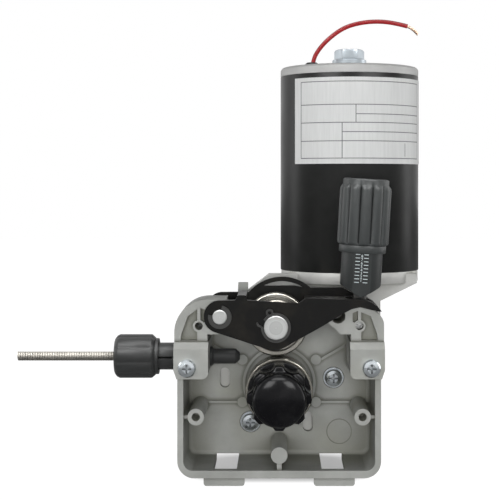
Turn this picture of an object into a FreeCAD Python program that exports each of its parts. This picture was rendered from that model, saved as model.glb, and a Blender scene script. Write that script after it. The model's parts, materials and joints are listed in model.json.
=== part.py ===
import FreeCAD, Part
import math
import os
import re
import Sketcher
from FreeCAD import Placement, Rotation, Vector

# Wire feeder: a cast plate with a worm-geared motor, a feed roller, a sprung pressure arm and a wire inlet.
# While it is drawn, x is 0 at the drive shaft, y is 0 in the plane of the wire (the front is -y) and z is 0
# on the wire. Each finished piece is then moved so that the origin is the mouth of the wire outlet.

SIZES = {
    # feed plate
    "plate_width": 102.2,
    "plate_drop": 59.3,
    "plate_front": 16.0,
    "tray_depth": 42.0,
    "back_wall": 4.0,
    "wall": 3.0,
    "bottom_wall": 3.8,
    "back_top": 19.0,
    "left_tower_top": 30.3,
    "tower_inner": 36.0,
    "left_tower_round": 16.5,
    "shoulder_round": 7.0,
    "bottom_round": 8.5,
    "cavity_round": 4.5,
    "floor_round": 2.3,
    "tower_relief": 4.5,
    "tower_rib": 1.6,
    "boss_proud": 1.5,
    "boss_front": 22.0,
    "boss_inner": 35.4,
    "boss_top": 9.2,
    "boss_bottom": 8.8,
    "boss_slope": 3.2,
    "boss_round": 3.0,
    "guide_bore": 5.0,
    "clamp_across": 45.8,
    "clamp_drop": 3.3,
    "clamp_hole": 2.55,
    "clamp_head": 4.5,
    "post_across": 41.9,
    "post_drop": 28.8,
    "post_radius": 4.15,
    "post_step": 1.0,
    "cover_hole": 2.1,
    "cover_hole_depth": 16.0,
    "centre_post_drop": 48.1,
    "lug_near": 17.4,
    "lug_far": 38.0,
    "lug_drop": 4.2,
    "lug_depth": 3.0,
    "lug_setback": 1.6,
    "lug_round": 1.5,
    "window_near": 21.4,
    "window_far": 33.4,
    "rib": 1.2,
    "ring_radius": 19.4,
    "ring_wall": 1.4,
    "ring_height": 1.6,
    "pad_radius": 2.7,
    "pad_across": 19.5,
    "pad_high_drop": 5.0,
    "pad_low_drop": 27.5,
    "nose_radius": 15.0,
    "screw_high_x": 28.9,
    "screw_high_drop": 14.8,
    "screw_low_x": 15.3,
    "screw_low_drop": 38.2,
    "screw_radius": 2.7,
    "screw_head": 4.6,
    "screw_seat": 5.8,
    "screw_sink": 1.0,
    "washer_radius": 5.4,
    "washer_height": 1.2,
    "slot_half": 2.65,
    "slot_reach": 5.3,
    "mark_x": 31.9,
    "mark_drop": 43.4,
    "mark_radius": 6.8,
    "stop_lug_x": 19.6,
    "stop_lug_width": 6.0,
    "stop_lug_top": 35.8,
    # drive train
    "shaft_drop": 17.5,
    "shaft_radius": 5.0,
    "stud_radius": 3.0,
    "stud_length": 20.0,
    "roller_radius": 17.2,
    "roller_width": 16.0,
    "groove_half": 0.6,
    "groove_depth": 0.4,
    "key_width": 3.0,
    "key_height": 1.4,
    "hub_radius": 12.4,
    "knob_radius": 16.0,
    "knob_rim": 29.4,
    "knob_front": 42.0,
    "dome_radius": 13.3,
    "knob_lobes": 8,
    "notch_radius": 6.0,
    "notch_depth": 2.1,
    # gearbox and motor
    "motor_x": 38.8,
    "motor_y": 54.0,
    "gear_module": 1.5,
    "wheel_teeth": 38,
    "wheel_width": 10.0,
    "worm_turns": 7,
    "tooth_play": 0.8,
    "gear_flange": 6.0,
    "gear_depth": 42.0,
    "gear_round": 36.0,
    "gear_cover": 3.0,
    "wheel_cavity": 31.5,
    "worm_cavity": 13.0,
    "bearing_outer": 13.0,
    "seal_outer": 11.0,
    "cover_screw_circle": 33.8,
    "motor_radius": 38.0,
    "motor_foot": 41.3,
    "motor_flange": 6.0,
    "motor_screw_across": 27.0,
    "motor_screw_radius": 2.55,
    "can_length": 106.0,
    "can_wall": 3.0,
    "cap_height": 4.8,
    "plug_hexagon": 8.1,
    "plug_height": 8.0,
    "plug_thread": 5.0,
    "motor_shaft": 4.0,
    "motor_bearing": 11.0,
    "magnet_wall": 5.5,
    "magnet_length": 60.0,
    "magnet_foot": 62.0,
    "core_radius": 27.5,
    "core_length": 52.0,
    "core_foot": 66.0,
    "core_slots": 12,
    "commutator_radius": 10.0,
    "brush_foot": 131.0,
    "label_foot": 99.0,
    "label_height": 45.7,
    "label_thick": 0.5,
    # pressure arm
    "arm_pivot_x": 29.6,
    "arm_pivot_z": 21.9,
    "arm_lobe": 8.0,
    "pivot_radius": 3.6,
    "pivot_lug": 5.9,
    "arm_front": 19.5,
    "arm_rear": 13.5,
    "arm_sheet": 2.5,
    "bearing_left": 1.6,
    "bearing_z": 16.6,
    "bearing_radius": 16.0,
    "bearing_width": 10.0,
    "roller_pin": 6.0,
    "hoop_radius": 22.6,
    "hoop_band": 2.3,
    # tension handle
    "rod_x": 40.3,
    "rod_z": 17.0,
    "rod_y": 3.0,
    "rod_radius": 3.5,
    "rod_length": 62.5,
    "rod_eye": 5.6,
    "rod_eye_width": 8.0,
    "rod_pin": 2.0,
    "lean": 3.3,
    "saddle_inner": 11.3,
    "saddle_wall": 2.0,
    "saddle_gap": 0.35,
    "saddle_low": 7.6,
    "housing_radius": 10.5,
    "housing_flat": 9.46,
    "housing_bore": 8.4,
    "housing_top": 52.0,
    "wedge_rise": 6.15,
    "spring_foot": 24.0,
    "spring_top": 69.7,
    "spring_wire": 1.8,
    "spring_mean": 7.0,
    "spring_turns": 7,
    "insert_radius": 5.5,
    "insert_foot": 58.0,
    "grip_foot": 36.4,
    "grip_top": 74.0,
    "grip_radius": 13.2,
    "grip_flutes": 12,
    # wire inlet
    "nut_left": 84.0,
    "nut_right": 63.4,
    "nut_radius": 11.2,
    "nut_flutes": 9,
    "ring_width": 1.8,
    "collet_radius": 6.9,
    "spigot_radius": 6.0,
    "tube_radius": 3.9,
    "tube_end": 20.2,
    "tube_bevel": 2.2,
    "wire_bore": 1.2,
    "liner_end": 134.0,
    "liner_radius": 2.4,
    "liner_wire": 0.8,
    "liner_turns": 42,
    # lead
    "lead_radius": 1.2,
    "lead_in": 20.8,
    "lead_back": 4.0,
    "grommet_neck": 2.2,
    # fits
    "running": 0.05,
    "clearance": 0.3,
}

WORM_PITCH_RADIUS = "(motor_x - wheel_teeth * gear_module / 2)"

doc = FreeCAD.newDocument("wire_feeder")
sheet = doc.addObject("Spreadsheet::Sheet", "sizes")
for row, (size_name, size) in enumerate(SIZES.items(), start=1):
    sheet.set("A%d" % row, size_name)
    sheet.set("B%d" % row, str(size))
    sheet.setAlias("B%d" % row, size_name)
doc.recompute()

UPRIGHT = Rotation()
ALONG_X = Rotation(Vector(0, 1, 0), 90)
TO_FRONT = Rotation(Vector(1, 0, 0), 90)
nodes = {}
cutters = []


def cell(expression):
    """The expression with each size name written as a cell of the sheet."""
    return re.sub(
        r"[A-Za-z_]\w*", lambda m: "sizes." + m.group() if m.group() in SIZES else m.group(), expression
    )


def value(expression):
    """The number that an expression of sizes has now."""
    return float(sheet.evalExpression(expression))


def bind(thing, path, expression):
    """Binds one property of a thing to an expression of sizes."""
    thing.setExpression(path, cell(expression))


def place(thing, x="0", y="0", z="0", turn=UPRIGHT):
    """Puts a thing at a bound place, turned."""
    thing.Placement = Placement(Vector(), turn)
    bind(thing, "Placement.Base.x", x)
    bind(thing, "Placement.Base.y", y)
    bind(thing, "Placement.Base.z", z)
    return thing


def finish(name, thing, x="0", y="0", z="0", turn=UPRIGHT):
    """Makes a thing one of the finished pieces, measured from the mouth of the wire outlet."""
    place(thing, "%s - plate_width / 2 - boss_proud" % x, y, z, turn)
    thing.Label = name
    nodes[name] = thing
    return thing


def cylinder(name, radius, length, x="0", y="0", z="0", turn=UPRIGHT):
    """A cylinder that starts at a place and runs along the turned z axis."""
    thing = doc.addObject("Part::Cylinder", name)
    bind(thing, "Radius", radius)
    bind(thing, "Height", length)
    return place(thing, x, y, z, turn)


def block(name, x, y, z):
    """A box between two bounds on each axis."""
    thing = doc.addObject("Part::Box", name)
    for side, (low, high) in zip(("Length", "Width", "Height"), (x, y, z)):
        bind(thing, side, "(%s) - (%s)" % (high, low))
    return place(thing, x[0], y[0], z[0])


def fuse(name, *pieces):
    """One solid out of several."""
    thing = doc.addObject("Part::MultiFuse", name)
    thing.Shapes = list(pieces)
    thing.Refine = True
    return thing


def cut(name, base, *tools):
    """A base with tools taken away."""
    thing = doc.addObject("Part::Cut", name)
    thing.Base = base
    thing.Tool = tools[0] if len(tools) == 1 else fuse(name + "_tools", *tools)
    return thing


def common(name, first, second):
    """What two solids share."""
    thing = doc.addObject("Part::Common", name)
    thing.Base = first
    thing.Tool = second
    return thing


def group(name, *pieces):
    """Separate solids that share one node."""
    thing = doc.addObject("Part::Compound", name)
    thing.Links = list(pieces)
    return thing


def tube(name, outer, inner, length, x="0", y="0", z="0", turn=UPRIGHT):
    """A ring or pipe."""
    outside = cylinder(name + "_outside", outer, length, x, y, z, turn)
    inside = cylinder(name + "_inside", inner, length, x, y, z, turn)
    return cut(name + "_ring", outside, inside)


def fix(sketch, kind, index, point, expression):
    """Holds a sketch point at a bound distance from the origin."""
    number = sketch.addConstraint(Sketcher.Constraint(kind, -1, 1, index, point, value(expression)))
    sketch.setExpression("Constraints[%d]" % number, cell(expression))


def sketch_on(body, name, plane, offset, *loops):
    """A sketch on an origin plane of its body, with loops of ("circle", x, y, radius) or a list of corners."""
    sketch = body.newObject("Sketcher::SketchObject", name)
    origin = [o for o in body.Origin.OriginFeatures if o.Role == plane + "_Plane"][0]
    sketch.AttachmentSupport = [(origin, "")]
    sketch.MapMode = "FlatFace"
    bind(sketch, "AttachmentOffset.Base.z", "-(%s)" % offset if plane == "XZ" else offset)
    for loop in loops:
        if loop[0] == "circle":
            centre = Vector(value(loop[1]), value(loop[2]), 0)
            ring = sketch.addGeometry(Part.Circle(centre, Vector(0, 0, 1), value(loop[3])), False)
            fix(sketch, "DistanceX", ring, 3, loop[1])
            fix(sketch, "DistanceY", ring, 3, loop[2])
            number = sketch.addConstraint(Sketcher.Constraint("Radius", ring, value(loop[3])))
            sketch.setExpression("Constraints[%d]" % number, cell(loop[3]))
            continue
        first = sketch.GeometryCount
        corners = [Vector(value(x), value(y), 0) for x, y in loop]
        for start, end in zip(corners, corners[1:] + corners[:1]):
            sketch.addGeometry(Part.LineSegment(start, end), False)
        for index, (x, y) in enumerate(loop):
            following = (index + 1) % len(loop)
            sketch.addConstraint(Sketcher.Constraint("Coincident", first + index, 2, first + following, 1))
            fix(sketch, "DistanceX", first + index, 1, x)
            fix(sketch, "DistanceY", first + index, 1, y)
    return sketch


def pad(body, sketch, length):
    """Adds a sketch to its body: towards the front from XZ, up from XY, to +x from YZ."""
    feature = body.newObject("PartDesign::Pad", sketch.Name + "_pad")
    feature.Profile = sketch
    bind(feature, "Length", length)
    sketch.Visibility = False
    return feature


def pocket(body, sketch, depth):
    """Cuts a sketch out of its body: to the back from XZ, down from XY, to -x from YZ."""
    feature = body.newObject("PartDesign::Pocket", sketch.Name + "_cut")
    feature.Profile = sketch
    bind(feature, "Length", depth)
    cutters.append(feature)
    return feature


def round_edges(body, name, radius, test, kind="PartDesign::Fillet"):
    """Rounds or bevels the edges of a body's last feature that pass a test."""
    doc.recompute()
    base = body.Tip
    edges = ["Edge%d" % (i + 1) for i, edge in enumerate(base.Shape.Edges) if test(edge)]
    if not edges:
        raise RuntimeError("no edges for " + name)
    feature = body.newObject(kind, name)
    feature.Base = (base, edges)
    bind(feature, "Radius" if kind == "PartDesign::Fillet" else "Size", radius)
    return feature


def along(axis, *places):
    """A test for straight edges along an axis through one of the places, each given as two coordinates."""
    spots = [tuple(value(c) for c in place) for place in places]
    others = [i for i in range(3) if i != axis]

    def test(edge):
        if edge.Curve.TypeId != "Part::GeomLine":
            return False
        start, end = edge.Vertexes[0].Point, edge.Vertexes[-1].Point
        if any(abs(start[i] - end[i]) > 1e-4 for i in others):
            return False
        here = [start[i] for i in others]
        return any(abs(here[0] - spot[0]) < 0.02 and abs(here[1] - spot[1]) < 0.02 for spot in spots)

    return test


def middle_in(x, y, z):
    """A test for edges whose middle lies between two bounds on each axis."""
    bounds = [(value(low) - 1e-4, value(high) + 1e-4) for low, high in (x, y, z)]

    def test(edge):
        return all(low < coordinate < high for coordinate, (low, high) in zip(edge.CenterOfMass, bounds))

    return test


def turned(name, profile):
    """A body turned about its z axis from a profile of (radius, height) corners."""
    body = doc.addObject("PartDesign::Body", name)
    sketch = sketch_on(body, name + "_profile", "XZ", "0", profile)
    feature = body.newObject("PartDesign::Revolution", name + "_turned")
    feature.Profile = sketch
    feature.ReferenceAxis = (sketch, ["V_Axis"])
    feature.Angle = 360
    return body


def around(body, feature, count):
    """Repeats a feature of a body round its z axis."""
    pattern = body.newObject("PartDesign::PolarPattern", feature.Name + "_around")
    pattern.Originals = [feature]
    axis = [o for o in body.Origin.OriginFeatures if o.Role == "Z_Axis"][0]
    pattern.Axis = (axis, [""])
    pattern.Angle = 360
    bind(pattern, "Occurrences", count)
    body.Tip = pattern
    return pattern


def coil(radius, wire, length, turns, start):
    """A spring of round wire about z, as a pipe along quarter-turn biarcs with a straight run at each end."""
    steps = int(round(turns * 4))
    pitch = length / turns
    slope = pitch / (2 * math.pi * radius)
    flat = math.sqrt(1 + slope ** 2)

    def spot(k):
        angle = k * math.pi / 2
        return Vector(radius * math.cos(angle), radius * math.sin(angle), start + pitch * k / 4)

    def heading(k):
        angle = k * math.pi / 2
        return Vector(-math.sin(angle), math.cos(angle), slope) / flat

    edges = [Part.LineSegment(spot(0) - heading(0) * wire, spot(0)).toShape()]
    for k in range(steps):
        a, b, u, v = spot(k), spot(k + 1), heading(k), heading(k + 1)
        chord = b - a
        across = 2 * (1 - u.dot(v))
        reach = chord.dot(u + v)
        arm = (-reach + math.sqrt(reach ** 2 + across * chord.dot(chord))) / across
        middle = (a + b + (u - v) * arm) / 2
        for start_point, end_point, tangent in ((a, middle, u), (middle, b, None)):
            span = end_point - start_point
            if tangent is None:
                tangent = (middle - (a + u * arm)).normalize()
            side = (span - tangent * span.dot(tangent)).normalize()
            half = math.atan2(span.dot(side), span.dot(tangent))
            bulge = span.Length / 2 * math.tan(half / 2)
            outward = (tangent * math.sin(half) - side * math.cos(half)).normalize()
            edges.append(
                Part.Arc(start_point, (start_point + end_point) / 2 + outward * bulge, end_point).toShape()
            )
    edges.append(Part.LineSegment(spot(steps), spot(steps) + heading(steps) * wire).toShape())
    path = Part.Wire(edges)
    begin = spot(0) - heading(0) * wire
    profile = Part.Wire([Part.Circle(begin, heading(0), wire / 2).toShape()])
    pipe = Part.BRepOffsetAPI.MakePipeShell(path)
    pipe.add(profile)
    pipe.build()
    pipe.makeSolid()
    gap = min((spot(k / 8) - spot(k / 8 + 4)).Length for k in range(8)) - wire
    print("coil: %d turns, least gap %.2f mm" % (turns, gap))
    return pipe.shape()


def make_feed_plate():
    """The cast tray: walls, towers, clamp bosses, posts, ribs, pivot lugs, feet and windows."""
    body = doc.addObject("PartDesign::Body", "plate_casting")
    half = "(plate_width / 2)"
    proud = "(plate_width / 2 + boss_proud)"
    back = "tray_depth - plate_front"
    # The right tower is round about the handle's pivot, and its shoulder leaves the round at 50 degrees.
    swing = "(saddle_inner - clearance - 0.2)"
    swing_top = "(rod_z + %s)" % swing
    shoulder = (proud, "rod_z + (%s - (%s - rod_x) * 0.643) / 0.766" % (swing, proud))
    crown = ("rod_x + %s * (1 - 0.766) / 0.643" % swing, swing_top)
    outline = [
        ("-" + half, "-plate_drop"),
        (half, "-plate_drop"),
        (half, "-boss_bottom - 1"),
        (proud, "-clamp_drop - 1"),
        shoulder,
        crown,
        ("tower_inner", swing_top),
        ("tower_inner", "back_top"),
        ("-tower_inner", "back_top"),
        ("-tower_inner", "left_tower_top"),
        ("-" + proud, "left_tower_top"),
        ("-" + proud, "-clamp_drop - 1"),
        ("-" + half, "-boss_bottom - 1"),
    ]
    pad(
        body, sketch_on(body, "plate_outline", "XZ", back + " + back_wall", outline), "tray_depth + back_wall"
    )
    low_corners = along(1, ("-" + half, "-plate_drop"), (half, "-plate_drop"))
    round_edges(body, "plate_low_rounds", "bottom_round", low_corners)
    round_edges(body, "plate_left_round", "left_tower_round", along(1, ("-" + proud, "left_tower_top")))
    round_edges(body, "plate_right_round", swing, along(1, crown))
    round_edges(body, "plate_shoulder_round", "shoulder_round", along(1, shoulder))
    inner = "(plate_width / 2 - wall)"
    floor = "-(plate_drop - bottom_wall)"
    cavity = [
        ("-" + inner, floor),
        (inner, floor),
        (inner, "-boss_bottom"),
        ("tower_inner", "-boss_bottom"),
        ("tower_inner", "left_tower_top + wall"),
        ("-tower_inner", "left_tower_top + wall"),
        ("-tower_inner", "-boss_bottom"),
        ("-" + inner, "-boss_bottom"),
    ]
    pocket(body, sketch_on(body, "cavity", "XZ", "-plate_front", cavity), "tray_depth")
    round_edges(body, "cavity_rounds", "cavity_round", along(1, ("-" + inner, floor), (inner, floor)))
    floor_edges = middle_in(("-" + inner, inner), (back, back), (floor, "-boss_bottom - 1"))
    round_edges(body, "floor_rounds", "floor_round", floor_edges)
    sides = (
        ("left", "-", "left_tower_top", "8.4", "4.8", "(arm_pivot_x - 3)", "left_tower_top"),
        ("right", "", swing_top, "5.8", "3.8", "(arm_pivot_x + 2)", "arm_pivot_z + pivot_lug - 0.6"),
    )
    for side, sign, top, knee, peak, bridge_end, bridge_top in sides:
        boss = [
            (sign + "boss_inner", "-boss_bottom"),
            (sign + half, "-boss_bottom"),
            (sign + proud, "-clamp_drop - 1"),
            (sign + proud, "boss_top"),
            (sign + "boss_inner", "boss_top"),
        ]
        pad(body, sketch_on(body, side + "_boss", "XZ", back, boss), back + " + boss_front")
        low_front = along(1, (sign + "boss_inner", "-boss_bottom"))
        round_edges(body, side + "_boss_rounds", "boss_round", low_front)
        across = ("-" + proud, "-boss_inner") if side == "left" else ("boss_inner", proud)
        top_front = middle_in(across, ("-boss_front", "-boss_front"), ("boss_top", "boss_top"))
        round_edges(body, side + "_boss_slope", "boss_slope", top_front, "PartDesign::Chamfer")
        peak_level = "%s - %s" % (top, peak)
        relief = [
            (sign + "(rod_x + tower_rib / 2)", "boss_top + 0.6"),
            (sign + "(%s - 3.2)" % proud, "boss_top + 0.6"),
            (sign + "(%s - 3.6)" % proud, "boss_top + 4"),
            (sign + "(rod_x + 5.6)", "%s - %s" % (top, knee)),
            (sign + "(rod_x + tower_rib / 2)", peak_level),
        ]
        pocket(body, sketch_on(body, side + "_relief", "XZ", "-plate_front", relief), "tower_relief")
        slit = [
            (sign + "(rod_x - tower_rib / 2)", peak_level + " + 0.6"),
            (sign + "(tower_inner + 0.8)", peak_level + " - 0.4"),
            (sign + "(tower_inner + 0.8)", "rod_z + 2.2"),
            (sign + "(rod_x - tower_rib / 2)", "rod_z + 1"),
        ]
        pocket(body, sketch_on(body, side + "_slit", "XZ", "-plate_front", slit), "tower_relief")
        ring = ("circle", sign + "rod_x", "rod_z", "rod_pin + 1")
        level = "-plate_front + tower_relief"
        pad(body, sketch_on(body, side + "_pin_boss", "XZ", level, ring), "tower_relief")
        lug = ("circle", sign + "arm_pivot_x", "arm_pivot_z", "pivot_lug")
        lug_back = "arm_rear - arm_sheet - clearance"
        pad(body, sketch_on(body, side + "_lug", "XZ", lug_back, lug), lug_back + " + plate_front")
        bridge = [
            (sign + "(tower_inner + 0.6)", "arm_pivot_z - 9"),
            (sign + "(arm_pivot_x + 1)", "arm_pivot_z - 9"),
            (sign + "(arm_pivot_x - 3)", "arm_pivot_z - 4.2"),
            (sign + "(arm_pivot_x - 3)", "arm_pivot_z"),
            (sign + bridge_end, bridge_top),
            (sign + "(tower_inner + 0.6)", bridge_top),
        ]
        pad(body, sketch_on(body, side + "_bridge", "XZ", lug_back, bridge), lug_back + " + plate_front")
        post = ("circle", sign + "post_across", "-post_drop", "post_radius")
        pad(body, sketch_on(body, side + "_post", "XZ", back, post), "tray_depth - post_step")
        web = [
            (sign + "(post_across + post_radius - 0.5)", "-post_drop - rib / 2 - 0.2"),
            (sign + inner, "-post_drop - rib / 2 - 0.2"),
            (sign + inner, "-post_drop + rib / 2 + 0.2"),
            (sign + "(post_across + post_radius - 0.5)", "-post_drop + rib / 2 + 0.2"),
        ]
        pad(body, sketch_on(body, side + "_post_web", "XZ", back, web), "tray_depth - post_step - 0.6")
        foot = [
            (sign + "lug_near", "-plate_drop - lug_drop"),
            (sign + "lug_far", "-plate_drop - lug_drop"),
            (sign + "lug_far", "-plate_drop + 1"),
            (sign + "lug_near", "-plate_drop + 1"),
        ]
        foot_back = "-plate_front + lug_setback + lug_depth"
        pad(body, sketch_on(body, side + "_foot", "XZ", foot_back, foot), "lug_depth")
        foot_corners = along(
            1,
            (sign + "lug_near", "-plate_drop - lug_drop"),
            (sign + "lug_far", "-plate_drop - lug_drop"),
        )
        round_edges(body, side + "_foot_rounds", "lug_round", foot_corners)
        window = [
            (sign + "window_near", "-plate_drop - 1"),
            (sign + "window_far", "-plate_drop - 1"),
            (sign + "window_far", "-plate_drop + bottom_wall + 0.5"),
            (sign + "window_near", "-plate_drop + bottom_wall + 0.5"),
        ]
        window_front = "-plate_front + lug_setback + lug_depth + 0.2"
        window_depth = "tray_depth - lug_setback - lug_depth + back_wall"
        pocket(body, sketch_on(body, side + "_window", "XZ", window_front, window), window_depth)
        for level_name, pad_z in (("high", "-pad_high_drop"), ("low", "-pad_low_drop")):
            knob = ("circle", sign + "pad_across", pad_z, "pad_radius")
            sketch = sketch_on(body, side + level_name + "_pad", "XZ", back, knob)
            pad(body, sketch, "ring_height + 0.4")
        rib_run = [
            (sign + "(pad_across + pad_radius - 0.4)", "-pad_low_drop - rib / 2"),
            (sign + "(tower_inner + 1.5)", "-pad_low_drop - rib / 2"),
            (sign + "(tower_inner + 1.5)", "-pad_low_drop + rib / 2"),
            (sign + "(pad_across + pad_radius - 0.4)", "-pad_low_drop + rib / 2"),
        ]
        pad(body, sketch_on(body, side + "_rib", "XZ", back, rib_run), "ring_height")
        slanted = [
            (sign + "(pad_across + 1.6)", "-pad_high_drop + 0.2"),
            (sign + "(pad_across + 2.3)", "-pad_high_drop - 0.9"),
            (sign + "(tower_inner + 0.2)", "boss_top - 6.8"),
            (sign + "(tower_inner + 0.2)", "boss_top - 5.3"),
        ]
        pad(body, sketch_on(body, side + "_slanted_rib", "XZ", back, slanted), "ring_height")
        pin_hole = ("circle", *ring[1:3], "rod_pin")
        through = "plate_front + arm_rear"
        pocket(body, sketch_on(body, side + "_pin_hole", "XZ", "-plate_front", pin_hole), through)
        pivot = ("circle", *lug[1:3], "pivot_radius")
        pocket(body, sketch_on(body, side + "_pivot_hole", "XZ", "-plate_front", pivot), through)
        hole = ("circle", *post[1:3], "cover_hole")
        pocket(body, sketch_on(body, side + "_cover_hole", "XZ", "-plate_front", hole), "cover_hole_depth")
        bore = ("circle", "0", "0", "guide_bore")
        bore_end = proud if side == "right" else "-boss_inner"
        pocket(body, sketch_on(body, side + "_bore", "YZ", bore_end, bore), proud + " - boss_inner")
        clamp = ("circle", sign + "clamp_across", "-clamp_drop", "clamp_hole")
        pocket(body, sketch_on(body, side + "_clamp_hole", "XZ", "-boss_front", clamp), "boss_front - 3")
    post = ("circle", "0", "-centre_post_drop", "post_radius")
    pad(body, sketch_on(body, "centre_post", "XZ", back, post), "tray_depth - post_step")
    web = [
        ("-rib", "-plate_drop + bottom_wall - 0.5"),
        ("rib", "-plate_drop + bottom_wall - 0.5"),
        ("rib", "-centre_post_drop - post_radius + 0.5"),
        ("-rib", "-centre_post_drop - post_radius + 0.5"),
    ]
    pad(body, sketch_on(body, "centre_web", "XZ", back, web), "tray_depth - post_step - 0.6")
    ring_outside = ("circle", "0", "-shaft_drop", "ring_radius")
    ring_inside = ("circle", "0", "-shaft_drop", "ring_radius - ring_wall")
    pad(body, sketch_on(body, "shaft_ring", "XZ", back, ring_outside, ring_inside), "ring_height + 0.4")
    nose_hole = ("circle", "0", "-shaft_drop", "nose_radius")
    pocket(body, sketch_on(body, "nose_hole", "XZ", back + " - 1", nose_hole), "back_wall + 2")
    for name, x, z in (("high", "screw_high_x", "screw_high_drop"), ("low", "-screw_low_x", "screw_low_drop")):
        seat = ("circle", x, "-" + z, "screw_seat")
        pocket(body, sketch_on(body, name + "_screw_seat", "XZ", back, seat), "screw_sink")
        hole = ("circle", x, "-" + z, "screw_radius")
        pocket(body, sketch_on(body, name + "_screw_hole", "XZ", back, hole), "back_wall + 1")
        mirrored = x[1:] if x.startswith("-") else "-" + x
        slot = [
            (mirrored + " - slot_half", "-%s - slot_reach" % z),
            (mirrored + " + slot_half", "-%s - slot_reach" % z),
            (mirrored + " + slot_half", "-%s + slot_reach" % z),
            (mirrored + " - slot_half", "-%s + slot_reach" % z),
        ]
        pocket(body, sketch_on(body, name + "_slot", "XZ", back, slot), "back_wall + 1")
        slot_corners = along(1, *slot)
        round_edges(body, name + "_slot_rounds", "slot_half - 0.02", slot_corners)
    stop = [
        ("-stop_lug_x - stop_lug_width / 2", "back_top - 1"),
        ("-stop_lug_x + stop_lug_width / 2", "back_top - 1"),
        ("-stop_lug_x + stop_lug_width / 2", "stop_lug_top"),
        ("-stop_lug_x - stop_lug_width / 2 + 0.8", "stop_lug_top"),
    ]
    pad(body, sketch_on(body, "stop_lug", "XZ", back + " + back_wall", stop), "back_wall")
    mark_outside = ("circle", "mark_x", "-mark_drop", "mark_radius")
    mark_inside = ("circle", "mark_x", "-mark_drop", "mark_radius - 0.5")
    pocket(body, sketch_on(body, "cast_ring", "XZ", back, mark_outside, mark_inside), "0.3")
    gap = "(rod_eye_width / 2 + clearance)"
    rod_slot = block(
        "rod_slot",
        ("rod_x - rod_eye - 1", "plate_width"),
        ("-rod_y - " + gap, "-rod_y + " + gap),
        ("rod_z - rod_eye - 0.6", "left_tower_top + wall"),
    )
    behind = "arm_rear - arm_sheet - clearance"
    past = back + " + back_wall + 1"
    rooms = [rod_slot]
    for side, inside, outside in (
        ("left", ("-%s + wall" % proud, "-arm_pivot_x + 4"), ("-%s - 1" % proud, "-arm_pivot_x + 4")),
        ("right", ("tower_inner - 1", proud + " - wall"), ("tower_inner - 1", proud + " + 1")),
    ):
        rooms.append(block(side + "_arm_room", inside, (behind, back), ("boss_top", "back_top + 1")))
        rooms.append(
            block(side + "_tower_back", outside, (behind, past), ("back_top", "left_tower_top + wall"))
        )
    finish("feed_plate", cut("plate_with_slots", body, *rooms))


def pan_screw(name, head_radius, head_height, shank_radius, length):
    """A cross-recessed pan head screw whose head seats at z 0 and whose shank points down."""
    profile = [
        ("0", "-(%s)" % length),
        ("%s - 0.4" % shank_radius, "-(%s)" % length),
        (shank_radius, "-(%s) + 0.5" % length),
        (shank_radius, "0"),
        (head_radius, "0"),
        (head_radius, "%s * 0.55" % head_height),
        ("%s * 0.86" % head_radius, "%s * 0.86" % head_height),
        ("%s * 0.5" % head_radius, head_height),
        ("0", head_height),
    ]
    body = turned(name, profile)
    cross = "%s * 0.52" % head_radius
    for index, (wide, high) in enumerate(((cross, "0.5"), ("0.5", cross))):
        bar = [("-" + wide, "-" + high), (wide, "-" + high), (wide, high), ("-" + wide, high)]
        sketch = sketch_on(body, "%s_recess_%d" % (name, index), "XY", head_height, bar)
        pocket(body, sketch, "%s * 0.6" % head_height)
    return body


def make_plate_screws():
    """The clamp screws at the two bosses and the screws that hold the gearbox."""
    clamps = []
    for side, sign in (("left", "-"), ("right", "")):
        shank = "boss_front - guide_bore - running"
        screw = pan_screw(side + "_clamp_screw", "clamp_head", "3.2", "clamp_hole - running", shank)
        clamps.append(place(screw, sign + "clamp_across", "-boss_front", "-clamp_drop", TO_FRONT))
    finish("clamp_screws", group("clamp_screw_pair", *clamps))
    screws = []
    washers = []
    seat = "tray_depth - plate_front + screw_sink"
    shank = "back_wall + gear_flange - 1"
    for name, x, z in (("high", "screw_high_x", "screw_high_drop"), ("low", "-screw_low_x", "screw_low_drop")):
        washer = tube(
            name + "_washer", "washer_radius", "screw_radius", "washer_height", x, seat, "-" + z, TO_FRONT
        )
        washers.append(washer)
        screw = pan_screw(name + "_gear_screw", "screw_head", "3.1", "screw_radius - running", shank)
        screws.append(place(screw, x, seat + " - washer_height", "-" + z, TO_FRONT))
    finish("gearbox_screws", group("gearbox_screw_pair", *screws))
    finish("gearbox_screw_washers", group("gearbox_washer_pair", *washers))


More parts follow.
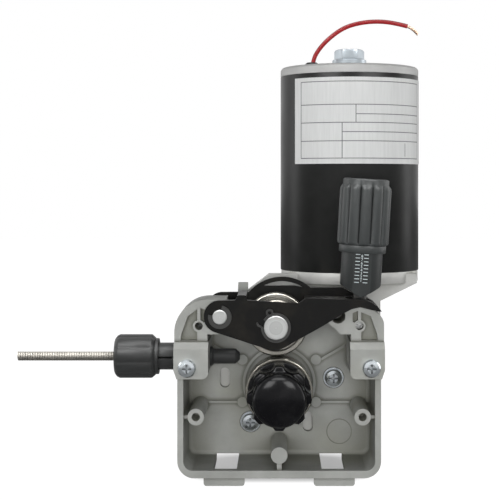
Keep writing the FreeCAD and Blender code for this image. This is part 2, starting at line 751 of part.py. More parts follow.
def make_gearbox():
    """Gearbox housing with its motor flange, rear cover, screws, bearings and oil seal."""
    front = "tray_depth - plate_front + back_wall"
    web = doc.addObject("PartDesign::Body", "gearbox_web")
    outline = [
        ("-30", "-45"),
        ("motor_x + 15", "-47"),
        ("motor_x + 15", "back_top + 6.5"),
        ("motor_x + motor_radius - 3", "motor_foot - motor_flange"),
        ("motor_x + motor_radius - 3", "motor_foot - 1"),
        ("-5.5", "motor_foot - 1"),
        ("-18", "stop_lug_top - 5"),
        ("-34", "0"),
    ]
    pad(web, sketch_on(web, "gearbox_web_outline", "XZ", front + " + gear_flange", outline), "gear_flange")
    inside_back = front + " + gear_depth"
    chamber = cylinder("wheel_chamber", "gear_round", "gear_depth", "0", inside_back, "-shaft_drop", TO_FRONT)
    worm_block = block(
        "worm_block",
        ("motor_x - 16", "motor_x + 16"),
        ("motor_y - 16", "motor_y + 16"),
        ("-50", "motor_foot - 1"),
    )
    under = "motor_foot - motor_flange"
    flange = cylinder("motor_seat", "motor_radius - 0.4", "motor_flange", "motor_x", "motor_y", under)
    nose = cylinder("gearbox_nose", "nose_radius - running", "back_wall", "0", front, "-shaft_drop", TO_FRONT)
    solid = fuse("gearbox_solid", web, chamber, worm_block, flange, nose)
    wheel_depth = "gear_depth - 15"
    wheel_space = cylinder(
        "wheel_space", "wheel_cavity", wheel_depth, "0", inside_back, "-shaft_drop", TO_FRONT
    )
    worm_space = cylinder("worm_space", "worm_cavity", "motor_foot + 44", "motor_x", "motor_y", "-44")
    seat_back = front + " + 15.5"
    bearing_seat = cylinder(
        "front_bearing_seat", "bearing_outer", "8.5", "0", seat_back, "-shaft_drop", TO_FRONT
    )
    shaft_way = cylinder(
        "shaft_way", "seal_outer", "back_wall + 9", "0", front + " + 8", "-shaft_drop", TO_FRONT
    )
    tools = [wheel_space, worm_space, bearing_seat, shaft_way]
    for name, x, z in (("high", "screw_high_x", "screw_high_drop"), ("low", "-screw_low_x", "screw_low_drop")):
        depth = "gear_flange - 0.5"
        tools.append(
            cylinder(name + "_thread", "screw_radius", depth, x, front + " + " + depth, "-" + z, TO_FRONT)
        )
    for side, sign in (("left", "-"), ("right", "+")):
        x = "motor_x %s motor_screw_across" % sign
        tools.append(
            cylinder(side + "_motor_hole", "motor_screw_radius", "motor_flange", x, "motor_y", under)
        )
    finish("gearbox_housing", cut("gearbox_cut", solid, *tools))
    cover_back = inside_back + " + gear_cover"
    cover = cylinder("cover_disc", "gear_round", "gear_cover", "0", cover_back, "-shaft_drop", TO_FRONT)
    hub = cylinder("cover_hub", "bearing_outer + 3", "10", "0", inside_back, "-shaft_drop", TO_FRONT)
    seat = cylinder("rear_bearing_seat", "bearing_outer", "10", "0", inside_back, "-shaft_drop", TO_FRONT)
    holes = []
    screws = []
    for index in range(4):
        angle = math.radians(45 + 90 * index)
        x = "%.6f * cover_screw_circle" % math.cos(angle)
        z = "-shaft_drop + %.6f * cover_screw_circle" % math.sin(angle)
        holes.append(cylinder("cover_hole_%d" % index, "1.6", "gear_cover", x, cover_back, z, TO_FRONT))
        screw = pan_screw("cover_screw_%d" % index, "2.9", "2.2", "1.55", "gear_cover")
        screws.append(place(screw, x, cover_back, z, Rotation(Vector(1, 0, 0), -90)))
    finish("gearbox_cover", cut("gearbox_cover_cut", fuse("cover_solid", cover, hub), seat, *holes))
    finish("gearbox_cover_screws", group("cover_screw_set", *screws))
    for name, back in (("front_shaft_bearing", front + " + 15"), ("rear_shaft_bearing", inside_back)):
        finish(
            name, ball_bearing(name, "bearing_outer", "shaft_radius", "8"), "0", back, "-shaft_drop", TO_FRONT
        )
    seal = tube(
        "seal", "seal_outer", "shaft_radius + running", "5", "0", front + " + 1.5", "-shaft_drop", TO_FRONT
    )
    finish("shaft_seal", seal)


def ball_bearing(name, outer, inner, width):
    """A shielded ball bearing as one turned ring with grooves between its rings and shields."""
    ring_out = "(%s - 1.8)" % outer
    ring_in = "(%s + 1.6)" % inner
    profile = [
        (inner, "0"),
        (ring_in, "0"),
        (ring_in, "0.5"),
        (ring_out, "0.5"),
        (ring_out, "0"),
        (outer, "0"),
        (outer, width),
        (ring_out, width),
        (ring_out, width + " - 0.5"),
        (ring_in, width + " - 0.5"),
        (ring_in, width),
        (inner, width),
    ]
    return turned(name, profile)


def make_motor():
    """Motor can, end cap, hexagon plug, rating plate, magnets, brushes, bearings and foot screws."""
    can = turned("motor_shell", [
        ("motor_radius", "0"),
        ("motor_radius", "can_length"),
        ("motor_radius - can_wall", "can_length"),
        ("motor_radius - can_wall", "can_wall"),
        ("motor_bearing + 3", "can_wall"),
        ("motor_bearing + 3", "8"),
        ("motor_bearing", "8"),
        ("motor_bearing", "0"),
    ])
    place(can, "motor_x", "motor_y", "motor_foot")
    holes = []
    screws = []
    for side, sign in (("left", "-"), ("right", "+")):
        x = "motor_x %s motor_screw_across" % sign
        holes.append(
            cylinder(side + "_can_hole", "motor_screw_radius", "can_wall", x, "motor_y", "motor_foot")
        )
        screw = pan_screw(
            side + "_motor_screw", "4", "2.6", "motor_screw_radius - running", "motor_flange + can_wall"
        )
        screws.append(place(screw, x, "motor_y", "motor_foot - motor_flange", Rotation(Vector(1, 0, 0), 180)))
    finish("motor_can", cut("motor_can_cut", can, *holes))
    finish("motor_screws", group("motor_screw_pair", *screws))
    cap = turned("motor_end_cap", [
        ("motor_bearing", "-6"),
        ("motor_bearing + 3", "-6"),
        ("motor_bearing + 3", "0"),
        ("motor_radius - can_wall - 2", "0"),
        ("motor_radius - can_wall - 2", "-5"),
        ("motor_radius - can_wall", "-5"),
        ("motor_radius - can_wall", "0"),
        ("motor_radius", "0"),
        ("motor_radius", "cap_height - 1.2"),
        ("motor_radius - 1.2", "cap_height"),
        ("12", "cap_height + 1.2"),
        ("plug_thread", "cap_height + 1.2"),
        ("plug_thread", "2.5"),
        ("motor_bearing", "2.5"),
    ])
    lead_hole = ("circle", "-lead_in", "-lead_back", "grommet_neck")
    pocket(cap, sketch_on(cap, "lead_hole", "XY", "cap_height + 2", lead_hole), "cap_height + 10")
    top = "motor_foot + can_length"
    finish("motor_end_cap", cap, "motor_x", "motor_y", top)
    plug = doc.addObject("PartDesign::Body", "motor_plug")
    corners = []
    for index in range(6):
        angle = math.radians(60 * index + 30)
        corners.append(("%.6f * plug_hexagon" % math.cos(angle), "%.6f * plug_hexagon" % math.sin(angle)))
    pad(plug, sketch_on(plug, "plug_hexagon_outline", "XY", "cap_height + 2.4", corners), "plug_height")
    collar = ("circle", "0", "0", "plug_hexagon * 0.93")
    pad(plug, sketch_on(plug, "plug_collar", "XY", "cap_height + 1.2", collar), "1.2")
    neck = ("circle", "0", "0", "plug_thread")
    pad(plug, sketch_on(plug, "plug_neck", "XY", "3", neck), "cap_height - 1.8")
    across = ("-plug_hexagon", "plug_hexagon")
    high = "cap_height + 2.4 + plug_height"
    round_edges(plug, "plug_bevel", "0.7", middle_in(across, across, (high, high)), "PartDesign::Chamfer")
    finish("motor_plug", plug, "motor_x", "motor_y", top)
    wide = cylinder(
        "plate_skin", "motor_radius + label_thick", "label_height", "motor_x", "motor_y", "label_foot"
    )
    wide.Angle = 130
    wide.Placement.Rotation = Rotation(Vector(0, 0, 1), -142)
    core = cylinder(
        "plate_core", "motor_radius + running", "label_height", "motor_x", "motor_y", "label_foot"
    )
    finish("rating_plate", cut("rating_plate_cut", wide, core))
    magnets = []
    magnet_place = ("magnet_length", "motor_x", "motor_y", "magnet_foot")
    for name, turn in (("left", 120), ("right", -60)):
        outer = cylinder(name + "_magnet_outer", "motor_radius - can_wall", *magnet_place)
        outer.Angle = 120
        outer.Placement.Rotation = Rotation(Vector(0, 0, 1), turn)
        hollow = cylinder(name + "_magnet_hollow", "motor_radius - can_wall - magnet_wall", *magnet_place)
        magnets.append(cut(name + "_magnet", outer, hollow))
    finish("motor_magnets", group("magnet_pair", *magnets))
    brushes = []
    for name, sign in (("left", "-"), ("right", "+")):
        near, far = "commutator_radius + clearance", "motor_radius - can_wall - 0.2"
        ends = (near, far) if sign == "+" else (far, near)
        x = tuple("motor_x %s (%s)" % (sign, end) for end in ends)
        brushes.append(
            block(name + "_brush", x, ("motor_y - 3", "motor_y + 3"), ("brush_foot", "brush_foot + 6"))
        )
    finish("motor_brushes", group("brush_pair", *brushes))
    rings = []
    for name, foot in (("lower", "motor_foot"), ("upper", top + " - 5.5")):
        ring = ball_bearing(name + "_motor_bearing", "motor_bearing", "motor_shaft", "7")
        rings.append(place(ring, "motor_x", "motor_y", foot))
    finish("motor_bearings", group("motor_bearing_pair", *rings))
    low_ring = ball_bearing("worm_bearing", "worm_cavity", "motor_shaft", "6")
    finish("worm_bearing", low_ring, "motor_x", "motor_y", "-44")


def make_rotor():
    """Motor shaft with its armature, windings, commutator and worm."""
    top = "(motor_foot + can_length)"
    shaft = cylinder("shaft_bar", "motor_shaft", top + " + 43", "motor_x", "motor_y", "-42.5")
    finish("motor_shaft", shaft, "motor_x", "motor_y", "-42.5")
    core = turned("armature_core", [
        ("motor_shaft", "0"),
        ("core_radius", "0"),
        ("core_radius", "core_length"),
        ("motor_shaft", "core_length"),
    ])
    slot = [
        ("-1", "core_radius - 9"),
        ("1", "core_radius - 9"),
        ("1", "core_radius + 1"),
        ("-1", "core_radius + 1"),
    ]
    cutter = pocket(core, sketch_on(core, "core_slot", "XY", "core_length", slot), "core_length")
    around(core, cutter, "core_slots")
    finish("armature_core", core, "motor_x", "motor_y", "core_foot")
    ends = []
    for name, foot in (("lower", "core_foot - 9"), ("upper", "core_foot + core_length")):
        ends.append(
            tube(name + "_winding", "core_radius - 3", "motor_shaft + 4", "9", "motor_x", "motor_y", foot)
        )
    finish("armature_windings", group("winding_pair", *ends))
    bar = tube(
        "commutator_bar", "commutator_radius", "motor_shaft", "12", "motor_x", "motor_y", "brush_foot - 3"
    )
    finish("commutator", bar)
    helix = doc.addObject("Part::Helix", "worm_line")
    bind(helix, "Pitch", "pi * gear_module")
    bind(helix, "Height", "pi * gear_module * worm_turns")
    bind(helix, "Radius", WORM_PITCH_RADIUS)
    tooth = doc.addObject("Sketcher::SketchObject", "worm_tooth")
    tooth.Placement = Placement(Vector(), Rotation(Vector(1, 0, 0), 90))
    root, tip = WORM_PITCH_RADIUS + " - 1.3 * gear_module", WORM_PITCH_RADIUS + " + 0.9 * gear_module"
    draw_tooth(tooth, root, tip)
    sweep = doc.addObject("Part::Sweep", "worm_thread")
    sweep.Sections = [tooth]
    sweep.Spine = (helix, ["Edge1"])
    sweep.Solid = True
    sweep.Frenet = True
    length, foot = "pi * gear_module * (worm_turns + 1)", "-pi * gear_module / 2"
    core = cylinder("worm_core", WORM_PITCH_RADIUS + " - 1.2 * gear_module", length, "0", "0", foot)
    hole = cylinder("worm_hole", "motor_shaft", length, "0", "0", foot)
    worm = cut("worm_cut", fuse("worm_solid", core, sweep), hole)
    finish("worm", worm, "motor_x", "motor_y", "-shaft_drop - pi * gear_module * worm_turns / 2")


def draw_tooth(sketch, root, tip):
    """The worm thread's section, drawn as radius and height."""
    base = "gear_module * pi / 4 - tooth_play / 4 + 0.45"
    crest = "gear_module * pi / 4 - tooth_play / 4 - 0.35"
    loop = [(root, "-(%s)" % base), (tip, "-(%s)" % crest), (tip, crest), (root, base)]
    corners = [Vector(value(x), value(y), 0) for x, y in loop]
    for start, end in zip(corners, corners[1:] + corners[:1]):
        sketch.addGeometry(Part.LineSegment(start, end), False)
    for index, (x, y) in enumerate(loop):
        sketch.addConstraint(Sketcher.Constraint("Coincident", index, 2, (index + 1) % 4, 1))
        fix(sketch, "DistanceX", index, 1, x)
        fix(sketch, "DistanceY", index, 1, y)


def make_drive_train():
    """Drive shaft, worm wheel, key, feed roller, star knob and its washer."""
    front = "tray_depth - plate_front + back_wall"
    rear = "(%s + gear_depth - 2)" % front
    shoulder = "(roller_width / 2 + clearance)"
    shaft = turned("drive_shaft_bar", [
        ("0", "0"),
        ("shaft_radius", "0"),
        ("shaft_radius", rear + " - " + shoulder + " - 3"),
        ("shaft_radius + 3", rear + " - " + shoulder + " - 3"),
        ("shaft_radius + 3", rear + " - " + shoulder),
        ("shaft_radius", rear + " - " + shoulder),
        ("shaft_radius", rear + " + roller_width / 2"),
        ("stud_radius", rear + " + roller_width / 2"),
        ("stud_radius", rear + " + roller_width / 2 + stud_length"),
        ("0", rear + " + roller_width / 2 + stud_length"),
    ])
    place(shaft, "0", rear, "-shaft_drop", TO_FRONT)
    key_x = ("-key_width / 2", "key_width / 2")
    key_z = ("-shaft_drop + shaft_radius - key_height", "-shaft_drop + shaft_radius + key_height")
    keyway = block("keyway", key_x, ("-roller_width / 2 + 1", "roller_width / 2 - 1"), key_z)
    finish("drive_shaft", cut("drive_shaft_cut", shaft, keyway))
    key = block("key_bar", key_x, ("-roller_width / 2 + 1", "roller_width / 2 - 1"), key_z)
    finish("roller_key", key, key_x[0], "-roller_width / 2 + 1", key_z[0])
    half = "roller_width / 2"
    roller = turned("roller_ring", [
        ("shaft_radius", "-" + half),
        ("hub_radius + 2", "-" + half),
        ("hub_radius + 2.4", "-%s + 0.6" % half),
        ("roller_radius - 1.2", "-%s + 0.6" % half),
        ("roller_radius - 0.8", "-" + half),
        ("roller_radius - 0.4", "-" + half),
        ("roller_radius", "-%s + 0.4" % half),
        ("roller_radius", "-groove_half"),
        ("roller_radius - groove_depth", "0"),
        ("roller_radius", "groove_half"),
        ("roller_radius", half + " - 2.4"),
        ("roller_radius - 1", half + " - 1.8"),
        ("roller_radius", half + " - 1.2"),
        ("roller_radius", half + " - 0.4"),
        ("roller_radius - 0.4", half),
        ("shaft_radius", half),
    ])
    place(roller, "0", "0", "-shaft_drop", TO_FRONT)
    slot = block("roller_keyway", key_x, ("-roller_width", "roller_width"), key_z)
    finish("drive_roller", cut("drive_roller_cut", roller, slot))
    wheel = turned("worm_wheel", [
        ("shaft_radius", "-wheel_width / 2 - 2"),
        ("shaft_radius + 4", "-wheel_width / 2 - 2"),
        ("shaft_radius + 4", "-wheel_width / 2 + 2"),
        ("wheel_teeth * gear_module / 2 - 5", "-wheel_width / 2 + 2"),
        ("wheel_teeth * gear_module / 2 - 5", "-wheel_width / 2"),
        ("wheel_teeth * gear_module / 2 + 0.9 * gear_module", "-wheel_width / 2"),
        ("wheel_teeth * gear_module / 2 + 0.9 * gear_module", "wheel_width / 2"),
        ("wheel_teeth * gear_module / 2 - 5", "wheel_width / 2"),
        ("wheel_teeth * gear_module / 2 - 5", "wheel_width / 2 - 2"),
        ("shaft_radius + 4", "wheel_width / 2 - 2"),
        ("shaft_radius + 4", "wheel_width / 2 + 2"),
        ("shaft_radius", "wheel_width / 2 + 2"),
    ])
    foot = "(wheel_teeth * gear_module / 2 - 1.3 * gear_module)"
    tip = "(wheel_teeth * gear_module / 2 + 1.2 * gear_module)"
    low, high = "(gear_module * 0.5 + tooth_play / 4)", "(gear_module * 1.25 + tooth_play / 4)"
    gap = [(foot, "-" + low), (tip, "-" + high), (tip, high), (foot, low)]
    space = pocket(wheel, sketch_on(wheel, "tooth_space", "XY", "wheel_width", gap), "wheel_width * 2")
    around(wheel, space, "wheel_teeth")
    finish("worm_wheel", wheel, "0", "motor_y", "-shaft_drop", TO_FRONT)
    back = "-roller_width / 2 - clearance"
    washer_place = ("washer_height", "0", back, "-shaft_drop", TO_FRONT)
    washer = tube("knob_washer_disc", "stud_radius + 5", "stud_radius + running", *washer_place)
    finish("knob_washer", washer)
    knob_back = "(roller_width / 2 + washer_height + 2 * clearance)"
    length = "(knob_front - %s)" % knob_back
    rim = "(knob_rim - %s)" % knob_back
    dome = "(knob_front - knob_rim)"
    knob = turned("roller_knob", [
        ("stud_radius + running", "0"),
        ("knob_radius - 0.3", "0"),
        ("knob_radius", "0.3"),
        ("knob_radius", rim + " - 0.8"),
        ("knob_radius - 0.8", rim),
        ("dome_radius", rim + " + 0.4"),
        ("dome_radius", "%s + %s * 0.45" % (rim, dome)),
        ("dome_radius * 0.94", "%s + %s * 0.68" % (rim, dome)),
        ("dome_radius * 0.8", "%s + %s * 0.85" % (rim, dome)),
        ("dome_radius * 0.55", "%s + %s * 0.95" % (rim, dome)),
        ("dome_radius * 0.25", "%s + %s * 0.99" % (rim, dome)),
        ("0", length),
        ("0", "stud_length - clearance"),
        ("stud_radius + running", "stud_length - clearance"),
    ])
    turn = math.pi / value("knob_lobes")
    spread = "(knob_radius - notch_depth + notch_radius)"
    across, up = "%.6f * %s" % (math.cos(turn), spread), "%.6f * %s" % (math.sin(turn), spread)
    notch = ("circle", across, up, "notch_radius")
    cutter = pocket(knob, sketch_on(knob, "knob_notch", "XY", length, notch), length + " - 3")
    around(knob, cutter, "knob_lobes")
    finish("roller_knob", knob, "0", "-" + knob_back, "-shaft_drop", TO_FRONT)


def make_arm():
    """The pressure arm: two plates joined by a strap, a web and a saddle, a hoop, its pins and clips."""
    front = "arm_rear + arm_front"
    left, right = "-arm_pivot_x", "-bearing_left"
    tail = [
        ("rod_x", "rod_z + saddle_inner + saddle_wall"),
        ("rod_x + 5.1", "rod_z + 12.2"),
        ("rod_x + 8.6", "rod_z + 10.4"),
        ("rod_x + 9.4", "rod_z + 9.2"),
        ("rod_x + 8.6", "rod_z + 8.2"),
        ("rod_x + 6.5", "rod_z + 8.2"),
        ("rod_x", "rod_z + 9.8"),
        ("rod_x - 4.1", "rod_z + 8.8"),
        ("rod_x - 7.6", "rod_z + 7"),
        (right + " + 22", "bearing_z"),
        (right, "bearing_z - 12.2"),
        (left + " - arm_lobe", "arm_pivot_z - 5.8"),
    ]
    front_top = [
        (left + " - arm_lobe", "arm_pivot_z + arm_lobe + 0.1"),
        (left + " + 7.6", "arm_pivot_z + 8.4"),
        (left + " + 9.2", "arm_pivot_z + 10.9"),
        (left + " + 12.5", "arm_pivot_z + 10.9"),
        (left + " + 13.6", "arm_pivot_z + 8.4"),
        (right + " + 11.3", "bearing_z + 12"),
        (right + " + 14.8", "rod_z + saddle_inner + saddle_wall + 1"),
    ]
    rear_top = [
        (left + " - arm_lobe", "arm_pivot_z + arm_lobe + 2"),
        (left + " + 13.6", "arm_pivot_z + 10.1"),
        (left + " + 15.6", "arm_pivot_z + 11.1"),
        (right + " - 6.4", "bearing_z + 18.7"),
        (right + " + 9.6", "bearing_z + 18.7"),
        (right + " + 14.6", "bearing_z + 17.7"),
        ("rod_x - 7.3", "bearing_z + 17.7"),
    ]
    body = doc.addObject("PartDesign::Body", "arm_plates")
    pad(
        body, sketch_on(body, "arm_front_plate", "XZ", "arm_sheet - arm_front", front_top + tail), "arm_sheet"
    )
    strap = [
        (left + " + 8.6", "arm_pivot_z + 8.6"),
        (left + " + 13.1", "arm_pivot_z + 8.6"),
        (left + " + 13.1", "arm_pivot_z + 8.6 + 2"),
        (left + " + 8.6", "arm_pivot_z + 8.6 + 2"),
    ]
    pad(body, sketch_on(body, "arm_strap", "XZ", "arm_rear", strap), front)
    pad(body, sketch_on(body, "arm_rear_plate", "XZ", "arm_rear", rear_top + tail), "arm_sheet")
    web = [
        (right + " + 14.6", "rod_z + saddle_inner"),
        ("rod_x", "rod_z + saddle_inner"),
        ("rod_x", "rod_z + saddle_inner + saddle_wall"),
        (right + " + 14.6", "rod_z + saddle_inner + saddle_wall"),
    ]
    pad(body, sketch_on(body, "arm_web", "XZ", "arm_rear", web), front)
    lobe_corners = along(
        1,
        (left + " - arm_lobe", "arm_pivot_z - 5.8"),
        (left + " - arm_lobe", "arm_pivot_z + arm_lobe + 0.1"),
        (left + " - arm_lobe", "arm_pivot_z + arm_lobe + 2"),
    )
    round_edges(body, "arm_lobe_rounds", "arm_lobe - 0.1", lobe_corners)
    round_edges(body, "arm_belly_round", "arm_lobe + 1", along(1, (right, "bearing_z - 12.2")))
    pivot = ("circle", left, "arm_pivot_z", "pivot_radius + running")
    pocket(body, sketch_on(body, "arm_pivot_hole", "XZ", "-arm_front", pivot), front)
    seat = ("circle", right, "bearing_z", "roller_pin")
    pocket(body, sketch_on(body, "arm_pin_hole", "XZ", "-arm_front", seat), front)
    outside = cylinder(
        "saddle_outside", "saddle_inner + saddle_wall", front, "rod_x", "arm_rear", "rod_z", TO_FRONT
    )
    inside = cylinder("saddle_inside", "saddle_inner", front, "rod_x", "arm_rear", "rod_z", TO_FRONT)
    keep_z = ("rod_z + saddle_low", "rod_z + 20")
    keep = block("saddle_keep", ("rod_x - 0.01", "rod_x + 20"), ("-arm_front", "arm_rear"), keep_z)
    saddle = common("arm_saddle", cut("saddle_ring", outside, inside), keep)
    hoop_place = (right + " + 3", "arm_rear", "bearing_z + 0.7", TO_FRONT)
    hoop_ring = tube("hoop_ring", "hoop_radius", "hoop_radius - hoop_band", "arm_sheet", *hoop_place)
    hoop_x = ("-hoop_radius - 5", "hoop_radius + 5")
    hoop_z = ("bearing_z + 15.8", "bearing_z + hoop_radius + 2")
    hoop = common("arm_hoop", hoop_ring, block("hoop_keep", hoop_x, ("-arm_front", "arm_rear"), hoop_z))
    gap = "(rod_eye_width / 2 + 2 * clearance)"
    slot_y = ("-rod_y - " + gap, "-rod_y + " + gap)
    slot = block("arm_slot", ("rod_x - 6.3", "rod_x + 20"), slot_y, ("rod_z + 4", "rod_z + 20"))
    finish("pressure_arm", cut("arm_cut", fuse("arm_solid", body, saddle, hoop), slot))
    length = "(arm_front + arm_rear)"
    pins = (
        ("pivot_pin", "pivot_radius", "0.6", left, "arm_pivot_z", "arm_rear + 0.3", length + " + 2.3", "1"),
        ("roller_pin", "roller_pin", "0.7", right, "bearing_z", "arm_rear", length + " + 2.2", "1.2"),
    )
    for name, radius, groove, x, z, back, reach, clip in pins:
        near = "(%s + arm_front + 0.4)" % back
        pin = turned(name + "_bar", [
            ("0", "0"),
            (radius, "0"),
            (radius, near),
            ("%s - %s" % (radius, groove), near),
            ("%s - %s" % (radius, groove), near + " + " + clip),
            (radius, near + " + " + clip),
            (radius, "%s - 0.3" % reach),
            (radius + " - 0.3", reach),
            ("0", reach),
        ])
        finish(name, pin, x, back, z, TO_FRONT)
    clip = tube("clip", "pivot_radius + 2.25", "pivot_radius - 0.5", "1")
    mouth = cylinder("clip_mouth", "pivot_radius + 4", "1")
    mouth.Angle = 90
    mouth.Placement.Rotation = Rotation(Vector(0, 0, 1), 79)
    finish("pivot_clip", cut("clip_cut", clip, mouth), left, "-arm_front - 0.4", "arm_pivot_z", TO_FRONT)
    ring = tube("snap_ring", "roller_pin + 1.4", "roller_pin - 0.6", "1.2")
    ears = []
    holes = []
    for index, turn in enumerate((113, 164)):
        x = "%.6f * (roller_pin + 2.1)" % math.cos(math.radians(turn))
        y = "%.6f * (roller_pin + 2.1)" % math.sin(math.radians(turn))
        ears.append(cylinder("ear_%d" % index, "1.9", "1.2", x, y))
        holes.append(cylinder("ear_hole_%d" % index, "0.95", "1.2", x, y))
    mouth = block("ring_mouth", ("0", "roller_pin + 6"), ("-1.5", "1.5"), ("-1", "2"))
    mouth.Placement.Rotation = Rotation(Vector(0, 0, 1), 138.5)
    pin_space = cylinder("ring_pin_space", "roller_pin - 0.6", "1.2")
    solid = cut("ring_cut", fuse("ring_solid", ring, *ears), mouth, pin_space, *holes)
    finish("roller_snap_ring", solid, right, "-arm_front - 0.4", "bearing_z", TO_FRONT)
    half = "bearing_width / 2"
    outer = turned("bearing_outer_ring", [
        ("roller_pin + 3.35", "-" + half),
        ("roller_pin + 6", "-" + half),
        ("roller_pin + 6.4", "-%s + 0.5" % half),
        ("roller_pin + 7.2", "-%s + 0.5" % half),
        ("roller_pin + 7.6", "-" + half),
        ("bearing_radius - 0.5", "-" + half),
        ("bearing_radius", "-%s + 0.5" % half),
        ("bearing_radius", half + " - 0.5"),
        ("bearing_radius - 0.5", half),
        ("roller_pin + 7.6", half),
        ("roller_pin + 7.2", half + " - 0.5"),
        ("roller_pin + 6.4", half + " - 0.5"),
        ("roller_pin + 6", half),
        ("roller_pin + 3.35", half),
    ])
    finish("pressure_roller", outer, right, "0", "bearing_z", TO_FRONT)
    inner = tube(
        "bearing_inner", "roller_pin + 3.3", "roller_pin", "bearing_width", right, half, "bearing_z", TO_FRONT
    )
    finish("pressure_bearing_inner", inner)
    spacers = []
    for name, back, width in (
        ("front", "-bearing_width / 2", "arm_front - arm_sheet - bearing_width / 2"),
        ("rear", "arm_rear - arm_sheet", "arm_rear - arm_sheet - bearing_width / 2"),
    ):
        spacers.append(
            tube(name + "_spacer", "roller_pin + 2", "roller_pin", width, right, back, "bearing_z", TO_FRONT)
        )
    finish("roller_spacers", group("spacer_pair", *spacers))


def on_rod(name, thing):
    """Finishes a piece that was drawn about the tension rod, which starts at its pivot and leans."""
    finish(name, thing, "rod_x", "-rod_y", "rod_z", Rotation(Vector(0, 1, 0), value("lean")))
    bind(thing, "Placement.Rotation.Angle", "lean")


def make_tension_handle():
    """Rod with its eye and pin, housing with a wedge foot, spring, washer, brass insert and knob."""
    rod = cylinder("rod_bar", "rod_radius", "rod_length - rod_eye + 2", "0", "0", "rod_eye - 2")
    eye = cylinder("rod_eye_bar", "rod_eye", "rod_eye_width", "0", "rod_eye_width / 2", "0", TO_FRONT)
    hole = cylinder(
        "rod_eye_hole", "rod_pin + running", "rod_eye_width", "0", "rod_eye_width / 2", "0", TO_FRONT
    )
    on_rod("tension_rod", cut("rod_cut", fuse("rod_solid", rod, eye), hole))
    pin = cylinder("rod_pin_bar", "rod_pin", "plate_front + 3.5")
    finish("rod_pivot_pin", pin, "rod_x", "10", "rod_z", TO_FRONT)
    housing = doc.addObject("PartDesign::Body", "housing_bar")
    foot = "(saddle_inner + saddle_wall + saddle_gap)"
    disc = ("circle", "0", "0", "housing_radius")
    pad(housing, sketch_on(housing, "housing_disc", "XY", foot, disc), "housing_top - " + foot)
    flat = [
        ("-housing_radius", "-housing_radius - 1"),
        ("housing_radius", "-housing_radius - 1"),
        ("housing_radius", "-housing_flat"),
        ("-housing_radius", "-housing_flat"),
    ]
    pocket(housing, sketch_on(housing, "housing_flat_outline", "XY", "housing_top", flat), "housing_top")
    spring_room = ("circle", "0", "0", "housing_bore")
    room = sketch_on(housing, "spring_room", "XY", "housing_top", spring_room)
    pocket(housing, room, "housing_top - spring_foot")
    rod_way = ("circle", "0", "0", "rod_radius + clearance")
    pocket(housing, sketch_on(housing, "rod_way", "XY", "spring_foot", rod_way), "spring_foot")
    for side, sign in (("left", "-"), ("right", "")):
        wedge = [
            ("0", foot + " - 1"),
            ("0", foot),
            (sign + "(housing_radius + 0.01)", foot + " + wedge_rise"),
            (sign + "(housing_radius + 0.01)", foot + " - 1"),
        ]
        sketch = sketch_on(housing, side + "_wedge", "XZ", "-housing_radius - 1", wedge)
        pocket(housing, sketch, "2 * housing_radius + 2")
    on_rod("tension_housing", housing)
    spring = doc.addObject("Part::Feature", "spring_coil")
    low = value("spring_foot + spring_wire / 2 + 0.35")
    high = value("spring_top - spring_wire / 2 - 0.35")
    spring.Shape = coil(value("spring_mean"), value("spring_wire"), high - low, value("spring_turns"), low)
    on_rod("tension_spring", spring)
    washer_bore = "insert_radius + clearance"
    washer = tube("thrust_ring", "housing_bore - 0.2", washer_bore, "washer_height", "0", "0", "spring_top")
    on_rod("thrust_washer", washer)
    ceiling = "(spring_top + washer_height + 0.4)"
    insert_length = "grip_top - 1 - insert_foot"
    insert = tube("insert", "insert_radius", "rod_radius + running", insert_length, "0", "0", "insert_foot")
    on_rod("knob_insert", insert)
    knob = turned("tension_grip", [
        ("housing_radius + 0.4", "grip_foot"),
        ("grip_radius - 1.2", "grip_foot"),
        ("grip_radius - 1.2", "grip_foot + 3.8"),
        ("grip_radius", "grip_foot + 5"),
        ("grip_radius", "grip_top - 5"),
        ("grip_radius - 1.2", "grip_top - 3.4"),
        ("grip_radius - 1.4", "grip_top - 0.6"),
        ("grip_radius - 2", "grip_top"),
        ("0", "grip_top"),
        ("0", "grip_top - 1"),
        ("insert_radius", "grip_top - 1"),
        ("insert_radius", ceiling),
        ("housing_radius + 0.4", ceiling),
    ])
    flute = ("circle", "grip_radius + 1.3", "0", "2.3")
    cutter = pocket(
        knob, sketch_on(knob, "grip_flute", "XY", "grip_top - 4.2", flute), "grip_top - grip_foot - 9.6"
    )
    around(knob, cutter, "grip_flutes")
    on_rod("tension_knob", knob)


